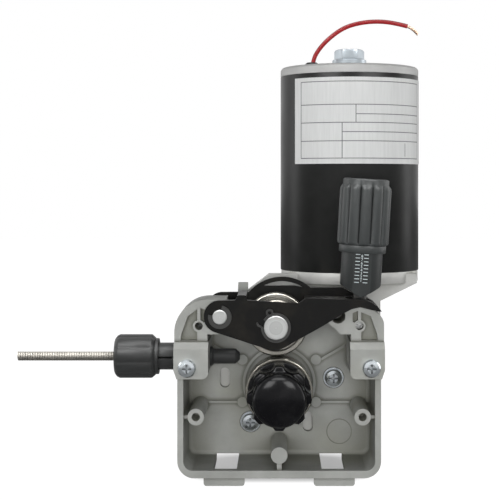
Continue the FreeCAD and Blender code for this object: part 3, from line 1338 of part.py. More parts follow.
def make_inlet():
    """The wire inlet: slit collet with its tube, the nut that clamps the liner, its ring and the liner."""
    face = "(plate_width / 2 + boss_proud)"
    start = "(nut_left - 4)"
    guide = turned("guide_bar", [
        ("wire_bore", "0"),
        ("spigot_radius - 0.6", "0"),
        ("spigot_radius", "0.6"),
        ("spigot_radius", start + " - nut_right - 2.1"),
        ("collet_radius", start + " - nut_right - 2.1"),
        ("collet_radius", start + " - " + face),
        ("guide_bore - running", start + " - " + face),
        ("guide_bore - running", start + " - boss_inner + 1"),
        ("tube_radius", start + " - boss_inner + 2"),
        ("tube_radius", start + " - tube_end - tube_bevel"),
        ("tube_radius * 0.5", start + " - tube_end"),
        ("wire_bore", start + " - tube_end"),
    ])
    place(guide, "-" + start, "0", "0", ALONG_X)
    slit = block("collet_slit", ("-nut_right - 1.5", "-%s - 1.6" % face), ("-8", "-2.5"), ("-0.5", "0.5"))
    finish("inlet_guide", cut("guide_cut", guide, slit))
    ring = tube(
        "nut_collar", "nut_radius - 2", "collet_radius + 0.1", "ring_width", "-nut_right", "0", "0", ALONG_X
    )
    finish("inlet_nut_ring", ring)
    long = "(nut_left - nut_right)"
    nut = turned("nut_bar", [
        ("liner_radius + 0.4", "0"),
        ("nut_radius - 3", "0"),
        ("nut_radius - 1", "1"),
        ("nut_radius", "2.6"),
        ("nut_radius", long + " - 1"),
        ("nut_radius - 1", long),
        ("collet_radius + 0.2", long),
        ("collet_radius + 0.2", long + " - 2.6"),
        ("spigot_radius + clearance", long + " - 3.4"),
        ("spigot_radius + clearance", "3.2"),
        ("liner_radius + 0.4", "3.2"),
    ])
    flute = ("circle", "nut_radius + 1.5", "0", "2.4")
    cutter = pocket(nut, sketch_on(nut, "nut_flute", "XY", long + " - 1.2", flute), long + " - 3.6")
    around(nut, cutter, "nut_flutes")
    finish("inlet_nut", nut, "-nut_left", "0", "0", ALONG_X)
    liner = doc.addObject("Part::Feature", "liner_coil")
    near, far = value("nut_left - 4 + liner_wire / 2 + 0.1"), value("liner_end")
    liner.Shape = coil(
        value("liner_radius - liner_wire / 2"), value("liner_wire"), far - near, value("liner_turns"), 0
    )
    finish("inlet_liner", liner, "-liner_end", "0", "0", ALONG_X)


def rounded(route):
    """A path of straight runs through a route, with an arc at each corner, that starts and ends straight."""
    points = [Vector(*place) for place in route]
    edges = []
    radii = []
    start = points[0]
    for before, corner, after in zip(points, points[1:], points[2:]):
        come, go = (corner - before), (after - corner)
        half = come.getAngle(go) / 2
        reach = 0.45 * min(come.Length, go.Length)
        radii.append(reach / math.tan(half))
        enter, leave = corner - come.normalize() * reach, corner + go.normalize() * reach
        inward = (go - come).normalize()
        middle = corner + inward * (radii[-1] / math.cos(half) - radii[-1])
        edges.append(Part.LineSegment(start, enter).toShape())
        edges.append(Part.Arc(enter, middle, leave).toShape())
        start = leave
    edges.append(Part.LineSegment(start, points[-1]).toShape())
    print("cord radii:", ", ".join("%.1f" % radius for radius in radii))
    return Part.Wire(edges)


def cord(name, route, radius):
    """A round cord along a route."""
    path = rounded(route)
    begin = Vector(*route[0])
    heading = Vector(*route[1]) - begin
    profile = Part.Wire([Part.Circle(begin, heading, radius).toShape()])
    thing = doc.addObject("Part::Feature", name + "_pipe")
    thing.Shape = path.makePipeShell([profile], True, False)
    finish(name, thing)


def make_lead():
    """The motor's red lead, the bare wire at its end and the grommet where it leaves the cap."""
    exit_x, exit_y = value("motor_x - lead_in"), value("motor_y - lead_back")
    exit_z = value("motor_foot + can_length + cap_height")
    route = [
        (exit_x, exit_y, exit_z - 3.4),
        (exit_x + 0.3, exit_y, exit_z + 4.2),
        (exit_x + 4.2, exit_y - 0.6, exit_z + 11),
        (exit_x + 10.4, exit_y - 1.2, exit_z + 17.2),
        (exit_x + 18, exit_y - 1.6, exit_z + 22.4),
        (exit_x + 27.4, exit_y - 1.8, exit_z + 25),
        (exit_x + 37.4, exit_y - 1.9, exit_z + 25.6),
        (exit_x + 46.4, exit_y - 1.9, exit_z + 24.4),
        (exit_x + 52.4, exit_y - 1.9, exit_z + 22.8),
    ]
    cord("red_lead", route, value("lead_radius"))
    tip, bend = Vector(*route[-1]), Vector(*route[-2])
    ahead = (tip - bend).normalize()
    fold = tip + ahead * 2.6
    bare = [tuple(tip), tuple(fold), tuple(fold + Vector(3.2, 0, -3.7))]
    cord("lead_conductor", bare, value("lead_radius * 0.62"))
    grommet = turned("grommet_ring", [
        ("lead_radius + 0.5", "-1.5"),
        ("grommet_neck", "-1.5"),
        ("grommet_neck", "0.5"),
        ("grommet_neck + 1.4", "0.5"),
        ("grommet_neck + 1.4", "1.6"),
        ("grommet_neck + 0.6", "2.4"),
        ("lead_radius + 0.5", "2.4"),
    ])
    grommet_foot = "motor_foot + can_length + cap_height + 0.6"
    finish("lead_grommet", grommet, "motor_x - lead_in", "motor_y - lead_back", grommet_foot)


def check_and_write():
    """Stops on any object that failed, then writes each finished piece as its own file."""
    doc.recompute()
    for thing in doc.Objects:
        if "Invalid" in thing.State or "Error" in thing.State:
            raise RuntimeError("%s is not computed: %s" % (thing.Label, thing.State))
    for feature in cutters:
        base = feature.BaseFeature
        if base is None or feature.Shape.Volume >= base.Shape.Volume - 1e-6:
            raise RuntimeError("%s takes nothing away" % feature.Label)
    os.makedirs("parts", exist_ok=True)
    for name, thing in nodes.items():
        shape = thing.Shape
        if shape.isNull() or not shape.isValid() or not shape.Solids:
            raise RuntimeError("%s has no valid solid" % name)
        shape.exportStep(os.path.join("parts", name + ".step"))
        print("%-24s %d solid(s) %10.1f mm3" % (name, len(shape.Solids), shape.Volume))


make_feed_plate()
make_plate_screws()
make_gearbox()
make_motor()
make_rotor()
make_drive_train()
make_arm()
make_tension_handle()
make_inlet()
make_lead()
check_and_write()
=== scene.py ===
"""Wire feeder: the finished looks of a worm-geared feeder for welding wire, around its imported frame."""

import json
import math

import bmesh
import bpy
from bpy.props import FloatProperty, FloatVectorProperty, IntProperty, PointerProperty
from mathutils import Matrix, Vector


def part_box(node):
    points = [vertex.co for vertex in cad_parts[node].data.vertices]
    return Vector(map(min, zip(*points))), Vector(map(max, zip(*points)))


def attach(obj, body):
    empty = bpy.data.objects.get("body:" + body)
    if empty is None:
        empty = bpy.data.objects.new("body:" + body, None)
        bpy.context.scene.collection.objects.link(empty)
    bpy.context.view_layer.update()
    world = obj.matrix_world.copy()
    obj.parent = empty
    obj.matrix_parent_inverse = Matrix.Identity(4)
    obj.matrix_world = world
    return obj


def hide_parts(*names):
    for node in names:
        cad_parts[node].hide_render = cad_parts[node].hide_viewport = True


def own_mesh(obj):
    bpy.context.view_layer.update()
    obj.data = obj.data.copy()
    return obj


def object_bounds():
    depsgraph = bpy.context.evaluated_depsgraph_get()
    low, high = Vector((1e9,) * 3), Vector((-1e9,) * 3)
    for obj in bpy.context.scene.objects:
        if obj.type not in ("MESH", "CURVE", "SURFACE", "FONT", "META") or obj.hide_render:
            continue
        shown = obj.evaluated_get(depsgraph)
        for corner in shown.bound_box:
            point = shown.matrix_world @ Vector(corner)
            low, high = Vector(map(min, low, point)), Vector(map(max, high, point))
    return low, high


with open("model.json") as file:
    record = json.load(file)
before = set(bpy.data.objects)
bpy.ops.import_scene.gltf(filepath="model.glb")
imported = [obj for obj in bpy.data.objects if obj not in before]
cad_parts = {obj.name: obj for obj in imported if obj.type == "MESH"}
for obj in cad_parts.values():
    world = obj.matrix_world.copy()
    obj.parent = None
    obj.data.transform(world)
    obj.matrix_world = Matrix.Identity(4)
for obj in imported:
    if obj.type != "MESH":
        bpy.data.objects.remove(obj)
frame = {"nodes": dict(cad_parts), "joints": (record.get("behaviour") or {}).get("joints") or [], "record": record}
cad_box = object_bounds()

bl_info = {
    "name": "Wire feeder",
    "version": (1, 0, 0),
    "blender": (4, 5, 0),
    "location": "3D View > Sidebar > Feeder",
    "description": "Makes the visible pieces, finishes, stage and camera of a wire feeder",
    "category": "Object",
}

MM = 0.001
# The photograph's height, the column of the drive shaft and the row of the horizon, in pixels
PHOTO_HEIGHT = 500
AXIS_AT = 279.2
HORIZON_AT = 185.5
# The camera's place in front of the drive shaft, in metres
CAMERA_BACK = -0.685
CAMERA_LEVEL = 0.0875
JOINTS = {joint["name"]: joint for joint in frame["joints"]}


def hinge(name):
    """The place and the direction of a hinge's axis at rest."""
    joint = JOINTS[name]
    return Vector(joint["pos_m"]), Vector(joint["axis"]).normalized()


def node_size(name):
    """The size of a frame node along each axis."""
    low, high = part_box(name)
    return high - low


# Sizes and colours that a user would change


class FeederSizes(bpy.types.PropertyGroup):
    """Sizes of the details that are added to the frame."""

    liner_wire: FloatProperty(
        name="Liner wire", description="Thickness of its wire", default=0.84 * MM, unit="LENGTH"
    )
    liner_radius: FloatProperty(
        name="Liner radius", description="Outer radius of the liner", default=2.4 * MM, unit="LENGTH"
    )
    knob_lobes: IntProperty(
        name="Knob lobes", description="Lobes round the star knob", default=8, min=5, max=10
    )
    lobe_depth: FloatProperty(
        name="Lobe depth", description="Depth of the knob's notches", default=2.1 * MM, unit="LENGTH"
    )
    grip_ribs: IntProperty(
        name="Grip ribs", description="Ribs round the tension knob", default=12, min=6, max=24
    )
    nut_ribs: IntProperty(
        name="Nut ribs", description="Ribs round the inlet nut", default=9, min=6, max=18
    )
    tick_pitch: FloatProperty(
        name="Tick pitch", description="Distance between marks", default=1.76 * MM, unit="LENGTH"
    )
    lead_radius: FloatProperty(
        name="Lead radius", description="Radius of the motor's lead", default=1.2 * MM, unit="LENGTH"
    )
    strand_radius: FloatProperty(
        name="Strand radius", description="Radius of one copper strand", default=0.26 * MM, unit="LENGTH"
    )
    lens: FloatProperty(name="Lens", description="Focal length of the camera", default=96.1)


class FeederColours(bpy.types.PropertyGroup):
    """Colours of the finishes."""

    casting: FloatVectorProperty(
        name="Casting", description="Die-cast plate", subtype="COLOR", default=(0.395, 0.402, 0.38)
    )
    gearbox: FloatVectorProperty(
        name="Gearbox", description="Cast gearbox", subtype="COLOR", default=(0.58, 0.58, 0.56)
    )
    motor_paint: FloatVectorProperty(
        name="Motor paint", description="Satin black", subtype="COLOR", default=(0.012, 0.0125, 0.012)
    )
    arm: FloatVectorProperty(
        name="Arm", description="Blackened steel", subtype="COLOR", default=(0.008, 0.008, 0.0077)
    )
    grip: FloatVectorProperty(
        name="Grip", description="Dark grey plastic", subtype="COLOR", default=(0.050, 0.055, 0.055)
    )
    nut: FloatVectorProperty(
        name="Nut", description="Black plastic", subtype="COLOR", default=(0.032, 0.033, 0.033)
    )
    lead: FloatVectorProperty(
        name="Lead", description="Red sheath of the lead", subtype="COLOR", default=(0.42, 0.022, 0.026)
    )
    copper: FloatVectorProperty(
        name="Copper", description="Bare strands", subtype="COLOR", default=(0.62, 0.44, 0.33)
    )


def sizes():
    """The sizes that the panel shows."""
    return bpy.context.scene.feeder_sizes


def colours():
    """The colours that the panel shows."""
    return bpy.context.scene.feeder_colours


# Finishes


def finish(name, colour, metallic, roughness, **sockets):
    """A material whose shader holds plain values."""
    made = bpy.data.materials.new(name)
    made.use_nodes = True
    shader = made.node_tree.nodes["Principled BSDF"]
    shader.inputs["Base Color"].default_value = (*colour, 1)
    shader.inputs["Metallic"].default_value = metallic
    shader.inputs["Roughness"].default_value = roughness
    for socket, value in sockets.items():
        shader.inputs[socket.replace("_", " ")].default_value = value
    return made


def shader_of(made):
    """The main shader of a material."""
    return made.node_tree.nodes["Principled BSDF"]


def place_of(made, centre=(0, 0, 0), stretch=(1, 1, 1)):
    """Object coordinates about a centre, stretched."""
    nodes, links = made.node_tree.nodes, made.node_tree.links
    source = nodes.new("ShaderNodeTexCoord")
    mapping = nodes.new("ShaderNodeMapping")
    mapping.vector_type = "POINT"
    mapping.inputs["Location"].default_value = [-c * s for c, s in zip(centre, stretch)]
    mapping.inputs["Scale"].default_value = stretch
    links.new(source.outputs["Object"], mapping.inputs["Vector"])
    return mapping.outputs["Vector"]


def calculated(made, kind, *values):
    """One sum on values that are numbers or sockets."""
    node = made.node_tree.nodes.new("ShaderNodeMath")
    node.operation = kind
    for target, value in zip(node.inputs, values):
        if isinstance(value, bpy.types.NodeSocket):
            made.node_tree.links.new(value, target)
        else:
            target.default_value = value
    return node.outputs[0]


def parts_of(made, place):
    """The three coordinates of a place."""
    split = made.node_tree.nodes.new("ShaderNodeSeparateXYZ")
    made.node_tree.links.new(place, split.inputs["Vector"])
    return list(split.outputs)


def lathe_place(made, centre, axis):
    """A place that changes only with the distance from an axis and along it, as tool marks do."""
    coordinates = parts_of(made, place_of(made, centre))
    along = coordinates.pop(axis)
    squares = [calculated(made, "MULTIPLY", value, value) for value in coordinates]
    radius = calculated(made, "SQRT", calculated(made, "ADD", *squares))
    joined = made.node_tree.nodes.new("ShaderNodeCombineXYZ")
    made.node_tree.links.new(radius, joined.inputs["X"])
    made.node_tree.links.new(along, joined.inputs["Y"])
    return joined.outputs["Vector"]


def noise_of(made, place, scale, detail=3.0, rough=0.55):
    """Cloudy noise at a place, from 0 to 1."""
    node = made.node_tree.nodes.new("ShaderNodeTexNoise")
    node.inputs["Scale"].default_value = scale
    node.inputs["Detail"].default_value = detail
    node.inputs["Roughness"].default_value = rough
    made.node_tree.links.new(place, node.inputs["Vector"])
    return node.outputs["Fac"]


def spread(made, value, low, high, to_low=0.0, to_high=1.0):
    """A value moved from one range to another."""
    node = made.node_tree.nodes.new("ShaderNodeMapRange")
    node.inputs["From Min"].default_value = low
    node.inputs["From Max"].default_value = high
    node.inputs["To Min"].default_value = to_low
    node.inputs["To Max"].default_value = to_high
    made.node_tree.links.new(value, node.inputs["Value"])
    return node.outputs["Result"]


def blend_colour(made, share, first, second):
    """A colour between two others. Each is a colour or a socket."""
    node = made.node_tree.nodes.new("ShaderNodeMix")
    node.data_type = "RGBA"
    made.node_tree.links.new(share, node.inputs["Factor"])
    for socket, colour in zip(("A", "B"), (first, second)):
        target = [s for s in node.inputs if s.name == socket and s.type == "RGBA"][0]
        if isinstance(colour, bpy.types.NodeSocket):
            made.node_tree.links.new(colour, target)
        else:
            target.default_value = (*colour, 1)
    return [s for s in node.outputs if s.type == "RGBA"][0]


def colour_from(made, socket):
    """Sets the shader's colour from a socket."""
    made.node_tree.links.new(socket, shader_of(made).inputs["Base Color"])


def rough_from(made, socket):
    """Sets the shader's roughness from a socket."""
    made.node_tree.links.new(socket, shader_of(made).inputs["Roughness"])


def bump_from(made, socket, strength, depth):
    """Bumps the surface by a socket, with a depth in metres."""
    node = made.node_tree.nodes.new("ShaderNodeBump")
    node.inputs["Strength"].default_value = strength
    node.inputs["Distance"].default_value = depth
    made.node_tree.links.new(socket, node.inputs["Height"])
    made.node_tree.links.new(node.outputs["Normal"], shader_of(made).inputs["Normal"])


def crease_of(made, reach):
    """How open the surface is, from 0 in a tight crease to 1 in the open."""
    node = made.node_tree.nodes.new("ShaderNodeAmbientOcclusion")
    node.only_local = True
    node.samples = 12
    node.inputs["Distance"].default_value = reach
    return node.outputs["AO"]


def darker(colour, share):
    """A colour with a share of its light."""
    return tuple(c * share for c in colour)


def lighter(colour, share):
    """A colour moved towards white."""
    return tuple(c + (1 - c) * share for c in colour)


def cast_metal(name, colour, metallic=0.1, roughness=0.6):
    """Die-cast aluminium: cloudy tone and fine skin, with painted shade in its creases and deep recesses."""
    made = finish(name, colour, metallic, roughness, Specular_IOR_Level=0.2)
    place = place_of(made)
    cloud = spread(made, noise_of(made, place, 55, 4), 0.35, 0.68)
    stain = spread(made, noise_of(made, place, 16, 2), 0.58, 0.75)
    tone = blend_colour(made, cloud, darker(colour, 0.86), lighter(colour, 0.05))
    warm = (colour[0] * 0.80, colour[1] * 0.79, colour[2] * 0.72)
    skinned = blend_colour(made, stain, tone, warm)
    # Painted shade: a darker colour in tight creases, where the surface is least open.
    unshaded_share = spread(made, crease_of(made, 2.4 * MM), 0.4, 0.9)
    crease_shaded = blend_colour(made, unshaded_share, darker(warm, 0.2), skinned)
    # Painted shade: darker again deep in the piece's own recesses.
    recess_shade_share = spread(made, crease_of(made, 24 * MM), 0.25, 0.75)
    colour_from(made, blend_colour(made, recess_shade_share, darker(warm, 0.74), crease_shaded))
    skin = noise_of(made, place, 900, 3)
    rough_from(made, spread(made, skin, 0.3, 0.7, roughness - 0.08, roughness + 0.1))
    bump_from(made, skin, 0.22, 0.12 * MM)
    return made


def painted_black(name, colour, roughness=0.32):
    """Satin black paint with a slight orange peel."""
    made = finish(name, colour, 0.0, roughness, Specular_IOR_Level=0.16)
    place = place_of(made)
    peel = noise_of(made, place, 700, 2)
    dust = spread(made, noise_of(made, place, 70, 4), 0.4, 0.7)
    colour_from(made, blend_colour(made, dust, colour, lighter(colour, 0.006)))
    wiped = noise_of(made, place, 40, 3)
    rough_from(made, spread(made, wiped, 0.3, 0.7, roughness - 0.04, roughness + 0.06))
    bump_from(made, peel, 0.12, 0.05 * MM)
    return made


def blackened_steel(name, colour):
    """Black oxide on sheet steel, brown where oil has dried, with a painted highlight along its sharp edges."""
    made = finish(name, colour, 0.0, 0.36, Specular_IOR_Level=0.12)
    place = place_of(made)
    oil = spread(made, noise_of(made, place, 90, 4), 0.5, 0.75)
    tone = blend_colour(made, oil, colour, (colour[0] * 2.2, colour[1] * 2.0, colour[2] * 1.7))
    # Painted highlight: a paler grey on sharp edges, found by pointiness.
    edge = made.node_tree.nodes.new("ShaderNodeNewGeometry").outputs["Pointiness"]
    lightened = spread(made, edge, 0.56, 0.66)
    colour_from(made, blend_colour(made, lightened, tone, (0.10, 0.10, 0.095)))
    grain = noise_of(made, place, 500, 3)
    rough_from(made, spread(made, grain, 0.3, 0.7, 0.3, 0.45))
    bump_from(made, grain, 0.15, 0.06 * MM)
    return made


def bright_steel(name, colour, roughness=0.28):
    """Bright metal with a faint cloudy tone and painted shade in its creases."""
    made = finish(name, colour, 1.0, roughness)
    cloud = spread(made, noise_of(made, place_of(made), 120, 3), 0.35, 0.7)
    tone = blend_colour(made, cloud, darker(colour, 0.86), colour)
    # Painted shade: a darker colour in creases and recesses, such as screw slots.
    unshaded_share = spread(made, crease_of(made, 1.6 * MM), 0.35, 0.85)
    colour_from(made, blend_colour(made, unshaded_share, darker(colour, 0.3), tone))
    return made


def turned_steel(name, colour, roughness, centre, axis, banding):
    """Bright metal with tool marks and darker bands that run round an axis; the bands are partly coarse tool marks
    and partly a painted reflection of dark surroundings.
    """
    made = finish(name, colour, 1.0, roughness)
    place = lathe_place(made, centre, axis)
    marks = noise_of(made, place, 2200, 2)
    shade = spread(made, marks, 0.32, 0.68)
    # Darker bands along the axis: partly coarse tool marks, partly a painted reflection of dark surroundings.
    tool_and_reflection_bands = spread(made, noise_of(made, place, 480, 1), 0.42, 0.56)
    fine = blend_colour(made, shade, darker(colour, 0.72), colour)
    colour_from(made, blend_colour(made, tool_and_reflection_bands, darker(colour, banding), fine))
    rough_from(made, spread(made, marks, 0.3, 0.7, roughness - 0.05, roughness + 0.07))
    bump_from(made, marks, 0.2, 0.03 * MM)
    return made


def moulded_plastic(name, colour, roughness=0.45, gloss=0.25, reach=2 * MM):
    """Moulded plastic with a fine spark-eroded grain and painted shade in its creases."""
    made = finish(name, colour, 0.0, roughness, Specular_IOR_Level=gloss)
    place = place_of(made)
    grain = noise_of(made, place, 1400, 2)
    scuff = spread(made, noise_of(made, place, 110, 4), 0.45, 0.75)
    lightened = blend_colour(made, scuff, colour, lighter(colour, 0.008))
    # Painted shade: a darker colour in creases, such as between ribs.
    unshaded_share = spread(made, crease_of(made, reach), 0.4, 0.95)
    colour_from(made, blend_colour(made, unshaded_share, darker(colour, 0.3), lightened))
    rough_from(made, spread(made, grain, 0.3, 0.7, roughness - 0.06, roughness + 0.08))
    bump_from(made, grain, 0.15, 0.04 * MM)
    return made


def ruled_label(name):
    """Brushed metal plate round the motor, printed with an empty ruled form."""
    made = finish(name, (0.50, 0.51, 0.50), 0.0, 0.42, Specular_IOR_Level=0.3)
    middle, _ = hinge("motor_spin")
    foot_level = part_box("rating_plate")[0].z
    x, y, height = parts_of(made, place_of(made, (middle.x, middle.y, foot_level)))
    turn = calculated(made, "ARCTAN2", x, calculated(made, "MULTIPLY", y, -1.0))
    round_way = calculated(made, "MULTIPLY", turn, node_size("motor_can").x / 2)

    def line(across, at, way, first, last):
        """A thin line at one distance across, between two distances the other way, in millimetres."""
        off = calculated(made, "ABSOLUTE", calculated(made, "SUBTRACT", across, at * MM))
        begun = calculated(made, "GREATER_THAN", way, first * MM)
        ended = calculated(made, "LESS_THAN", way, last * MM)
        thin = calculated(made, "LESS_THAN", off, 0.2 * MM)
        return calculated(made, "MULTIPLY", thin, calculated(made, "MULTIPLY", begun, ended))

    def bar(at, first, last):
        """A line round the motor at one height."""
        return line(height, at, round_way, first, last)

    def post(at, first, last):
        """An upright line at one distance round the motor."""
        return line(round_way, at, height, first, last)

    left, right, foot, top = -29.7, 45.9, 2.9, 43.4
    low_column, high_column, last_column = -5.7, 1.5, 31.5
    rows = (12.0, 21.7, 31.2)
    marks = [bar(foot, left, right), bar(top, left, right)]
    marks += [post(left, foot, top), post(right, foot, top)]
    marks += [bar(row, left, right) for row in rows]
    marks += [bar(16.8, low_column, right), bar(26.2, high_column, right)]
    marks += [post(low_column, foot, rows[1]), post(high_column, rows[1], rows[2])]
    marks.append(post(last_column, foot + 1, rows[0] - 1))
    total = marks[0]
    for mark in marks[1:]:
        total = calculated(made, "MAXIMUM", total, mark)
    grain = noise_of(made, place_of(made, stretch=(1, 1, 0.06)), 900, 3)
    brushed = blend_colour(made, spread(made, grain, 0.3, 0.7), (0.76, 0.77, 0.765), (0.83, 0.84, 0.835))
    colour_from(made, blend_colour(made, total, brushed, (0.13, 0.13, 0.14)))
    return made


def laminated_core(name):
    """Stacked sheets of the armature, seen as fine rings."""
    made = finish(name, (0.30, 0.30, 0.31), 0.9, 0.4)
    wave = made.node_tree.nodes.new("ShaderNodeTexWave")
    wave.bands_direction = "Z"
    wave.inputs["Scale"].default_value = 320
    made.node_tree.links.new(place_of(made), wave.inputs["Vector"])
    tone = blend_colour(made, wave.outputs["Fac"], (0.16, 0.16, 0.17), (0.34, 0.34, 0.35))
    colour_from(made, tone)
    bump_from(made, wave.outputs["Fac"], 0.4, 0.1 * MM)
    return made


def make_finishes():
    """Every finish, by the record's slot."""
    tint = colours()
    return {
        "casting": cast_metal("cast plate", tuple(tint.casting)),
        "gearbox_metal": cast_metal("cast gearbox", tuple(tint.gearbox), 0.4, 0.42),
        "motor_black": painted_black("motor paint", tuple(tint.motor_paint)),
        "cap_metal": cast_metal("end cap", (0.68, 0.68, 0.67), 0.0, 0.45),
        "zinc_steel": bright_steel("bright zinc", (0.60, 0.64, 0.67), 0.22),
        "plate_metal": ruled_label("ruled plate"),
        "magnet": moulded_plastic("magnet", (0.05, 0.05, 0.055), 0.6),
        "bearing_steel": bright_steel("bearing steel", (0.50, 0.48, 0.43), 0.24),
        "shaft_steel": bright_steel("pin steel", (0.64, 0.65, 0.64), 0.32),
        "roller_steel": bright_steel("roller steel", (0.46, 0.44, 0.39), 0.24),
        "core_steel": laminated_core("armature core"),
        "copper": bright_steel("copper", tuple(tint.copper), 0.3),
        "bronze": bright_steel("bronze", (0.66, 0.47, 0.22), 0.32),
        "dark_steel": bright_steel("dark clip", (0.085, 0.085, 0.083), 0.36),
        "spring_steel": bright_steel("spring steel", (0.42, 0.42, 0.43), 0.3),
        "liner_steel": bright_steel("liner steel", (0.46, 0.44, 0.40), 0.55),
        "arm_black": blackened_steel("blackened arm", tuple(tint.arm)),
        "glossy_black": moulded_plastic("glossy black", (0.004, 0.004, 0.005), 0.2, 0.13),
        "handle_grey": moulded_plastic("handle grey", tuple(tint.grip), 0.42, 0.35, 3.4 * MM),
        "nut_black": moulded_plastic("inlet black", tuple(tint.nut), 0.42, 0.35, 3.4 * MM),
        "seal_rubber": moulded_plastic("rubber", (0.02, 0.02, 0.02), 0.6),
        "lead_red": moulded_plastic("red sheath", tuple(tint.lead), 0.35),
        "scale_ink": moulded_plastic("white ink", (0.72, 0.80, 0.82), 0.5),
    }


def dress(piece, made):
    """Gives a piece one material."""
    piece.data.materials.clear()
    piece.data.materials.append(made)


# Shapes


def settle(bm, name, made, body, replaced=(), sharp=32):
    """Turns a bmesh into a piece that rides on a body and stands for frame nodes."""
    bmesh.ops.recalc_face_normals(bm, faces=bm.faces)
    mesh = bpy.data.meshes.new(name)
    bm.to_mesh(mesh)
    bm.free()
    mesh.shade_smooth()
    mesh.set_sharp_from_angle(angle=math.radians(sharp))
    piece = bpy.data.objects.new(name, mesh)
    bpy.context.scene.collection.objects.link(piece)
    dress(piece, made)
    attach(piece, body)
    if replaced:
        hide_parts(*replaced)
    return piece


def rings_body(rings, steps, wave=None, ring_shut=False):
    """A round body made ring by ring. A ring is its height, its radius and its share of the wave."""
    bm = bmesh.new()
    bmesh.ops.create_circle(bm, radius=1, segments=steps)
    verts, edges = bm.verts[:], bm.edges[:]
    for index, (height, radius, share) in enumerate(rings):
        if index:
            grown = bmesh.ops.extrude_edge_only(bm, edges=edges)["geom"]
            verts = [item for item in grown if isinstance(item, bmesh.types.BMVert)]
            fresh = set(verts)
            edges = [e for e in grown if isinstance(e, bmesh.types.BMEdge) and set(e.verts) <= fresh]
        elif not ring_shut:
            bmesh.ops.contextual_create(bm, geom=edges)
        for vert in verts:
            angle = math.atan2(vert.co.y, vert.co.x)
            reach = radius * (1 - share * wave(angle)) if wave else radius
            vert.co = (reach * math.cos(angle), reach * math.sin(angle), height)
    if ring_shut:
        bmesh.ops.remove_doubles(bm, verts=bm.verts, dist=1e-7)
    else:
        bmesh.ops.contextual_create(bm, geom=edges)
    return bm


def upright_to(place, axis):
    """The matrix that puts a body drawn along +z at a place, along an axis."""
    turn = Vector((0, 0, 1)).rotation_difference(axis).to_matrix().to_4x4()
    return Matrix.Translation(place) @ turn


def ribbed(count, sharpness):
    """A wave that is 0 on the ribs and 1 in the grooves between them."""
    return lambda angle: 1 - abs(math.cos(angle * count / 2)) ** sharpness


def scalloped(count, radius, notch, depth):
    """A wave that is 0 on the lobes and 1 in the middle of the round notches between them."""
    centre = radius - depth + notch

    def wave(angle):
        off = angle % (2 * math.pi / count) - math.pi / count
        inside = notch ** 2 - (centre * math.sin(off)) ** 2
        if inside <= 0:
            return 0
        return max(0, radius - centre * math.cos(off) + math.sqrt(inside)) / depth

    return wave


# The finishes that are in use, by slot, filled by the first operator
FINISHES = {}


# Pieces of the feeder


class FEEDER_OT_finishes(bpy.types.Operator):
    """Make every finish and give each frame node its own"""

    bl_idname = "feeder.finishes"
    bl_label = "Finishes"

    def execute(self, context):
        FINISHES.update(make_finishes())
        for part in frame["record"]["subparts"]:
            dress(frame["nodes"][part["node"]], FINISHES[part["material_slot"]])
        # How dark each turned part's bands are: partly tool marks, partly painted reflection.
        banding = {
            "roller_pin": 0.85, "pivot_pin": 0.85, "drive_roller": 0.35, "pressure_roller": 0.6,
            "pressure_bearing_inner": 0.6,
        }
        for name, depth in banding.items():
            node = frame["nodes"][name]
            low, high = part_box(name)
            plain = shader_of(node.data.materials[0])
            colour = tuple(plain.inputs["Base Color"].default_value)[:3]
            rough = plain.inputs["Roughness"].default_value
            dress(node, turned_steel("turned " + name, colour, rough, (low + high) / 2, 1, depth))
        dress(frame["nodes"]["inlet_nut_ring"], FINISHES["nut_black"])
        grip = moulded_plastic("housing grey", darker(colours().grip, 0.62), 0.42)
        dress(frame["nodes"]["tension_housing"], grip)
        return {"FINISHED"}


class FEEDER_OT_star_knob(bpy.types.Operator):
    """Make the star knob that holds the drive roller"""

    bl_idname = "feeder.star_knob"
    bl_label = "Star knob"

    def execute(self, context):
        place, axis = hinge("roller_knob_turn")
        low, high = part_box("roller_knob")
        place.y = high.y
        long = (high.y - low.y) / MM
        lobes = sizes().knob_lobes
        rim = long - 12.6
        rings = [
            (12, 3.1, 0), (0, 3.1, 0), (0, 15.6, 0), (0.1, 15.9, 0), (0.4, 16, 0), (2.6, 16, 0),
            (2.9, 15.8, 0.1), (3.0, 15.8, 1), (3.4, 16, 1), (rim - 1.6, 16, 1), (rim - 0.8, 15.8, 1),
            (rim - 0.3, 15.3, 0.9), (rim, 14.6, 0.6), (rim + 0.2, 13.9, 0.25), (rim + 0.4, 13.4, 0),
            (rim + 0.8, 13.3, 0),
        ]
        for step in range(15):
            turn = math.radians(6 * step)
            rings.append((long - 7.4 + 7.4 * math.sin(turn) ** 0.85, 13.3 * math.cos(turn) ** 0.85, 0))
        depth = sizes().lobe_depth / MM
        wave = scalloped(lobes, 16, 6, depth)
        bm = rings_body([(h * MM, r * MM, s * depth / 16) for h, r, s in rings], lobes * 24, wave)
        bm.transform(upright_to(place, axis))
        settle(bm, "star_knob", FINISHES["glossy_black"], "star_knob", ["roller_knob"], 60)
        return {"FINISHED"}


